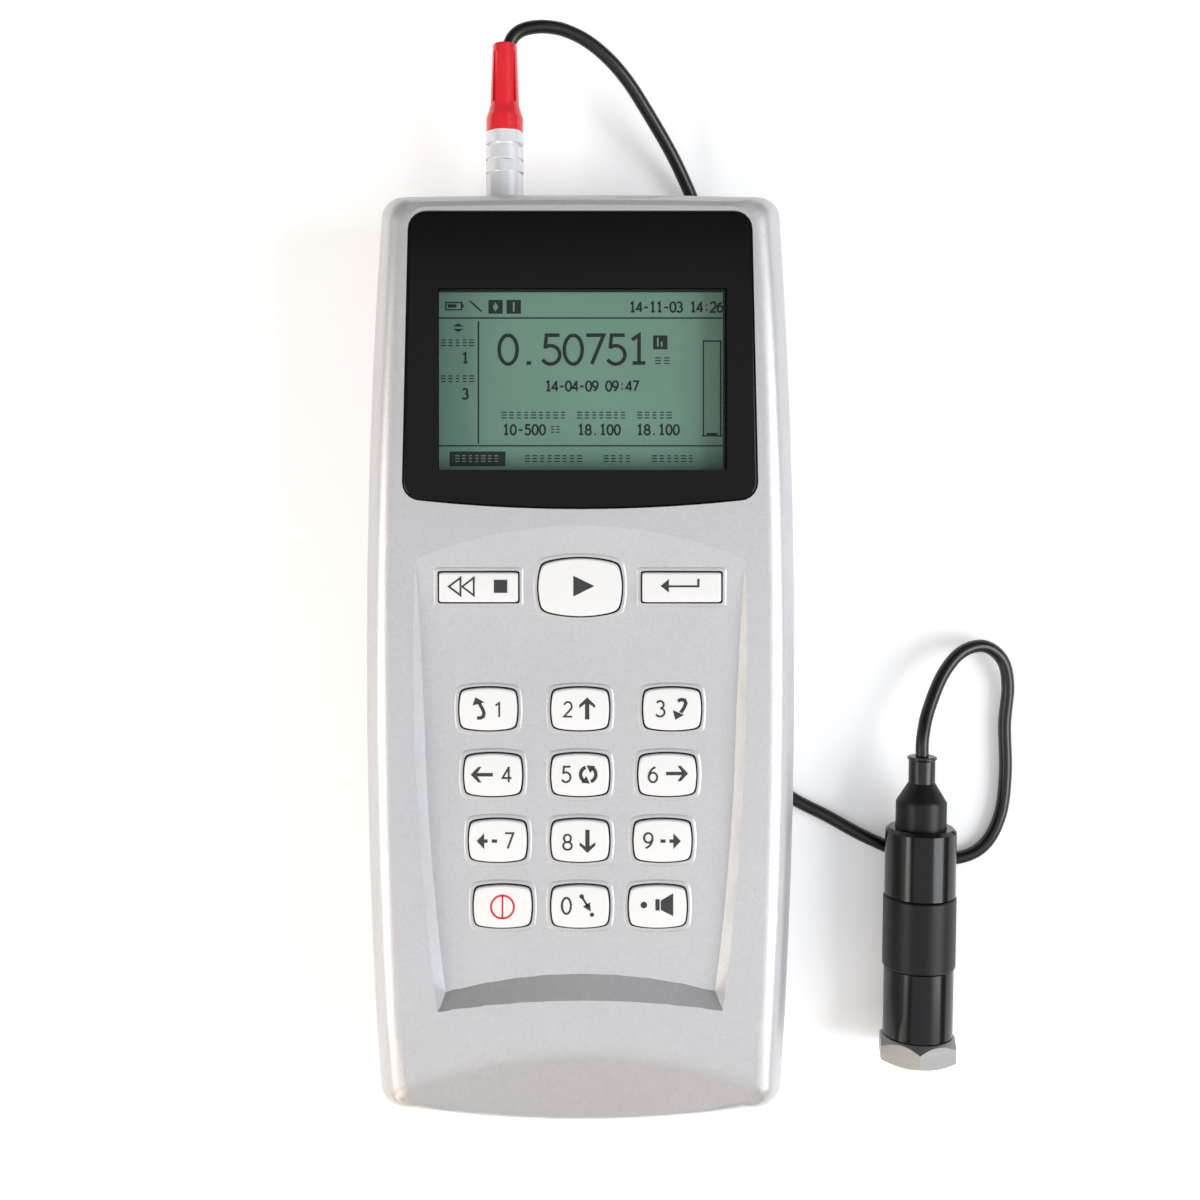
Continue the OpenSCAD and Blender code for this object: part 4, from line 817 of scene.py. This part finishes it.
def capTree():
    # One grid bent round the key: its rows are the rings from the middle of the base to the crown
    m = Maker("keyCap", ["Width", "Length", "SideBow", "EndBow", "Power", "Height", "Soft", "Crown"])
    g, size = m.graph, m.inputs
    rings = 9  # base middle, base edge, 5 round the top edge, crown, crown middle
    grid = g.add("GeometryNodeMeshGrid", None, {"Size X": 1.0, "Size Y": 1.0,
                                                "Vertices X": keys["around"] + 1, "Vertices Y": rings})
    spot = g.add("GeometryNodeInputPosition")
    x = g.add("ShaderNodeSeparateXYZ", None, {0: spot}, 0)
    y = g.add("ShaderNodeSeparateXYZ", None, {0: spot}, 1)
    turn = x * math.tau
    k = ((y + 0.5) * (rings - 1)).maths("ROUND")
    c, s = turn.maths("COSINE"), turn.maths("SINE")
    reach = c.maths("ABSOLUTE") ** size["Power"] + s.maths("ABSOLUTE") ** size["Power"]
    reach = reach ** (1.0 / size["Power"])
    u, v = c / reach, s / reach
    bend = ((k - 2.0) / 4.0).limited() * (math.pi / 2)
    inset = size["Soft"] * (1.0 - bend.maths("COSINE"))
    share = k.limited() * ((8.0 - k) / 2.0).limited()
    topShare = ((8.0 - k) / 2.0).limited()
    rise = (k > 1.5) * (size["Height"] - size["Soft"] + size["Soft"] * bend.maths("SINE"))
    rise = rise + size["Crown"] * (1.0 - topShare * topShare)
    flat = g.add("ShaderNodeCombineXYZ", None, {
        0: (size["Width"] * 0.5 - inset - size["SideBow"] * v * v) * u * share,
        1: (size["Length"] * 0.5 - inset - size["EndBow"] * u * u) * v * share, 2: rise})
    bent = g.add("GeometryNodeSetPosition", None, {"Geometry": grid, "Position": flat})
    closed = g.add("GeometryNodeMergeByDistance", None, {0: bent, "Distance": 0.002})
    m.ends(closed, "cap")
    return m


def keyMesh(maker, name, place, form):
    width, length, sideBow, endBow, power = form
    r = math.hypot(place[0], place[1] - dishY)
    base = case["thick"] - keys["under"]
    top = case["thick"] - dishAt(r) + keys["proud"]
    cap = outwards(maker.run(name, Width=width - 2 * keys["slim"], Length=length - 2 * keys["slim"],
                             SideBow=sideBow, EndBow=endBow, Power=power,
                             Height=top - base - keys["crown"], Soft=keys["soft"], Crown=keys["crown"]))
    halfX, halfY = width / 2 + keys["flange"], length / 2 + keys["flange"]
    flange = box(-halfX, -halfY, halfX, halfY, -keys["flangeThick"], 0.0)
    low = top - base - keys["signRoot"]
    high = top - base + keys["sign"]
    parts = [(softened(cap, 50), 0), (flange, 0)]
    for shape in keySigns[name]:
        if isinstance(shape[0], str):
            parts.append((digits(*shape, 1.0, low, high, keys["signWeight"]), 1))
        else:
            parts.append((prism(shape, low, high), 1))
    mesh = joined(name, parts)
    for v in mesh.vertices:
        v.co = at(place[0] + v.co.x, place[1] + v.co.y, base + v.co.z)
    mesh.polygons.foreach_set("use_smooth", [f.material_index == 0 for f in mesh.polygons])
    return mesh


capMaker = capTree()
for name, place, form in keyList:
    mesh = keyMesh(capMaker, name, place, form)
    look = "red" if name == "key_power" else "ink"
    piece(name + "_cap", mesh, ["cap", look], name + "_body", [name])
print("keys: %d" % len(keyList))


# Black rings in the gap round each key, as painted shade of the gaps, and the lip round each hole

keyEdge = {"gapShadeDrop": 0.1, "gapShadeThick": 0.6, "lipWidth": 0.7, "lipHeight": 0.12, "lipRoot": 0.2,
           "clear": 0.03, "grow": 0.02}


def keyOutline(form, grow):
    width, length, sideBow, endBow, power = form
    points = []
    for k in range(keys["around"]):
        a = math.tau * k / keys["around"]
        c, s = math.cos(a), math.sin(a)
        reach = (abs(c) ** power + abs(s) ** power) ** (1 / power)
        u, v = c / reach, s / reach
        points.append(((width / 2 + grow - sideBow * v * v) * u, (length / 2 + grow - endBow * u * u) * v))
    return points


def ringMesh(place, form, section):
    # A closed ring that follows the key: section is (distance out, height over the recess)
    points, faces = [], []
    for grow, rise in section:
        ring = keyOutline(form, grow)
        for x, y in ring:
            px, py = place[0] + x, place[1] + y
            z = case["thick"] - dishAt(math.hypot(px, py - dishY)) + rise
            points.append(at(px, py, z))
    n, m = len(ring), len(section)
    for a in range(m):
        for i in range(n):
            b, j = (a + 1) % m, (i + 1) % n
            faces.append([a * n + i, a * n + j, b * n + j, b * n + i])
    return outwards(meshOf("ring", points, faces))


gapShades, lips = [], []
for name, place, form in keyList:
    inner, outer = -keys["slim"] + keyEdge["clear"], keyEdge["grow"]
    top, low = -keyEdge["gapShadeDrop"], -keyEdge["gapShadeDrop"] - keyEdge["gapShadeThick"]
    # a black ring just under the recess in the key's gap: painted shade of the gap
    gapShades.append((ringMesh(place, form, [(inner, low), (outer, low), (outer, top), (inner, top)]), 0))
    w, h, root = keyEdge["lipWidth"], keyEdge["lipHeight"], -keyEdge["lipRoot"]
    lips.append((ringMesh(place, form, [
        (outer, root), (outer, h * 0.7), (outer + w * 0.25, h), (outer + w * 0.6, h * 0.75),
        (outer + w, -0.02), (outer + w, root)]), 0))
keySeals = piece("keySeals", joined("keySeals", gapShades), ["blackRubber"])
lipMesh = joined("keyLips", lips)
keyLips = piece("keyLips", softened(lipMesh, 60), ["paint"])


# Plug, sensor and the pieces inside, in their own finishes

looks = {  # node: name of the piece, its finish and its slot
    "window_gasket": ("windowGasket", "blackRubber", "seal_rubber"),
    "lcd_frame": ("displayFrame", "darkPlastic", "frame_steel"),
    "backlight": ("lightGuide", "white", "diffuser"),
    "main_board": ("mainBoard", "board", "board"),
    "keypad_mat": ("keypadMat", "blackRubber", "mat_rubber"),
    "buzzer": ("buzzer", "darkPlastic", "dark_plastic"),
    "battery_cells": ("batteryCells", "wrap", "cell_metal"),
    "battery_contacts": ("batteryContacts", "sheet", "spring_steel"),
    "board_screws": ("boardScrews", "screw", "screw_steel"),
    "connector_socket": ("connectorSocket", "plug", "plug_chrome"),
    "socket_nut": ("socketNut", "plug", "plug_chrome"),
    "input_board": ("inputBoard", "board", "board"),
    "input_shield": ("inputShield", "sheet", "frame_steel"),
    "plug_core": ("plugCore", "plug", "plug_chrome"),
    "plug_nut": ("plugNut", "plug", "plug_chrome"),
    "plug_boot": ("plugBoot", "boot", "boot_red"),
    "sensor_ferrule": ("sensorFerrule", "jacket", "lead_jacket"),
    "sensor_gland": ("sensorGland", "sleeve", "dark_plastic"),
    "sensor_upper_barrel": ("sensorUpperBarrel", "gloss", "sensor_black"),
    "sensor_middle_sleeve": ("sensorMiddleSleeve", "sleeve", "sleeve_black"),
    "sensor_lower_barrel": ("sensorLowerBarrel", "gloss", "sensor_black"),
    "sensor_base": ("sensorBase", "steel", "base_steel"),
    "piezo_rings": ("piezoRings", "ceramic", "piezo"),
    "seismic_mass": ("seismicMass", "mass", "mass_metal"),
    "preload_nut": ("preloadNut", "screw", "screw_steel"),
    "sensor_board": ("sensorBoard", "board", "board"),
}
for source, (name, look, slot) in looks.items():
    dressed(name, source, look)
dressed("plugSleeve", "plug_sleeve", "plug", "plug_sleeve_body")
print("carried pieces: %d" % (len(looks) + 1))


# Feet and case screws: one of each, set on its places by a node tree

feet = {"x": (20.0, 27.0), "y": (halfLength - 14, -halfLength + 27), "r": 4.5, "pocket": 0.5, "soft": 0.9,
        "rim": 1.6, "dimple": 0.25}
screws = {"x": 30.5, "y": (halfLength - 10.5, -halfLength + 12.5), "headR": 2.3, "headT": 1.6, "depth": 4.0,
          "shaftR": 1.25, "long": 17.6, "tip": 1.2, "crossLong": 3.0, "crossWide": 0.6, "crossDeep": 0.9}


def lathe(section, steps=48):
    points, faces = [], []
    for r, z in section:
        for k in range(steps):
            a = math.tau * k / steps
            points.append((r * math.cos(a), r * math.sin(a), z))
    n = len(section)
    for a in range(n - 1):
        for i in range(steps):
            j = (i + 1) % steps
            faces.append([a * steps + i, a * steps + j, (a + 1) * steps + j, (a + 1) * steps + i])
    return outwards(meshOf("lathe", points, faces))


def spread(name, model, places, look, hides):
    holder = bpy.data.objects.new(name + "Model", model)
    scene.collection.objects.link(holder)
    m = Maker(name + "Spread", ["Size"])
    g = m.graph
    one = g.add("GeometryNodeObjectInfo", None, {"Object": holder}, "Geometry")
    many = g.add("GeometryNodeInstanceOnPoints", None, {"Points": m.inputs["Geometry"], "Instance": one,
                                                        "Scale": m.inputs["Size"]})
    m.ends(many, look)
    mesh = m.run(name, meshOf(name, [at(*p) for p in places], []), Size=0.001)
    bpy.data.objects.remove(holder)
    return piece(name, softened(mesh, 35), None, hides=hides)


def footModel():
    low, r, soft, inner = -case["lift"], feet["r"], feet["soft"], feet["r"] - feet["rim"]
    return lathe([(0, feet["pocket"]), (r, feet["pocket"]), (r, low + soft),
                  (r - soft * 0.3, low + soft * 0.3), (r - soft, low), (inner, low),
                  (inner - 0.3, low + feet["dimple"]), (0, low + feet["dimple"])])


footPlaces = [(x * side, y, 0) for x, y in zip(feet["x"], feet["y"]) for side in (-1, 1)]
spread("rubberFeet", footModel(), footPlaces, "blackRubber", ["rubber_feet"])


def screwModel():
    bottom = screws["depth"] - screws["headT"]
    r, t = screws["headR"], screws["headT"]
    body = lathe([(0, bottom), (r - 0.5, bottom), (r - 0.1, bottom + 0.3), (r, bottom + 0.7), (r, bottom + t),
                  (screws["shaftR"], bottom + t), (screws["shaftR"], bottom + screws["long"] - screws["tip"]),
                  (0.2, bottom + screws["long"]), (0, bottom + screws["long"])], 32)
    holder = bpy.data.objects.new("screwBody", body)
    scene.collection.objects.link(holder)
    cutters = []
    for turn in (0, 90):
        halfX, halfY = screws["crossLong"] / 2, screws["crossWide"] / 2
        cut = box(-halfX, -halfY, halfX, halfY, bottom - 0.5, bottom + screws["crossDeep"])
        if turn:
            for v in cut.vertices:
                v.co = Vector((-v.co.y, v.co.x, v.co.z))
        cutter = bpy.data.objects.new("cut", cut)
        scene.collection.objects.link(cutter)
        step = holder.modifiers.new("cut", "BOOLEAN")
        step.operation = "DIFFERENCE"
        step.solver = "EXACT"
        step.object = cutter
        cutters.append(cutter)
    mesh = plain(holder)
    for thing in cutters + [holder]:
        bpy.data.objects.remove(thing)
    return mesh


screwPlaces = [(screws["x"] * side, y, 0) for y in screws["y"] for side in (-1, 1)]
spread("caseScrews", screwModel(), screwPlaces, "screw", ["case_screws"])
print("feet and screws: %d each" % len(footPlaces))


# Floor, backdrop and light

light = {"floorGlow": 0.25, "worldLevel": 0.1, "floorHalf": 3, "floorLow": -0.0002}  # metres
corners = [(x * light["floorHalf"], y * light["floorHalf"]) for x, y in ((-1, -1), (1, -1), (1, 1), (-1, 1))]
floorMesh = meshOf("floor", [(x, y, light["floorLow"]) for x, y in corners], [[0, 1, 2, 3]])
floor = bpy.data.objects.new("floor", floorMesh)
scene.collection.objects.link(floor)


def floorPaint(g):
    camera, glossy, through = (g.add("ShaderNodeLightPath", out="Is %s Ray" % kind)
                               for kind in ("Camera", "Glossy", "Transmission"))
    return {"Base Color": g.mix(g.noise(3, 2.0), srgb(246, 246, 246), srgb(250, 250, 250)),
            "Emission Color": g.mix((camera + glossy + through).limited(), (0, 0, 0, 1), (1, 1, 1, 1))}


floorPaper = finish("floorPaper", floorPaint, Roughness=0.9, Specular_IOR_Level=0.1,
                    Emission_Strength=light["floorGlow"])
floorMesh.materials.append(floorPaper)
world = bpy.data.worlds.new("studio")
scene.world = world
world.use_nodes = True
sky = Graph(world.node_tree)
back = world.node_tree.nodes["Background"]
back.inputs["Color"].default_value = (1.0, 0.995, 0.985, 1)
seen = sky.add("ShaderNodeLightPath", out="Is Camera Ray")  # the view past the floor's edge is white
level = seen * (1 - light["worldLevel"]) + light["worldLevel"]
world.node_tree.links.new(level.socket, back.inputs["Strength"])
lamps = [  # name, place in metres, size, watts, colour
    ("overLamp", (0, -0.26, 0.95), 1.1, 3.2, (0.9, 0.94, 1.0)),
    ("leftLamp", (-0.85, -0.18, 0.5), 0.5, 5.8, (1.0, 0.94, 0.86)),
    ("rightLamp", (0.8, -0.12, 0.65), 0.6, 8.2, (0.92, 0.96, 1.0)),
    ("frontLamp", (-0.5, -0.8, 0.5), 0.5, 2.6, (1.0, 0.76, 0.54)),
    ("warmLamp", (0.6, -0.6, 0.6), 0.5, 0.9, (1.0, 0.83, 0.64)),
    ("backLamp", (0.5, 0.6, 0.8), 0.5, 0.4, (1.0, 1.0, 1.0)),
]
for name, place, size, power, colour in lamps:
    lamp = bpy.data.lights.new(name, "AREA")
    lamp.size = size
    lamp.energy = power
    lamp.color = colour
    thing = bpy.data.objects.new(name, lamp)
    scene.collection.objects.link(thing)
    thing.location = place
    thing.rotation_euler = (-Vector(place)).to_track_quat("-Z", "Y").to_euler()
print("light: %d lamps" % len(lamps))
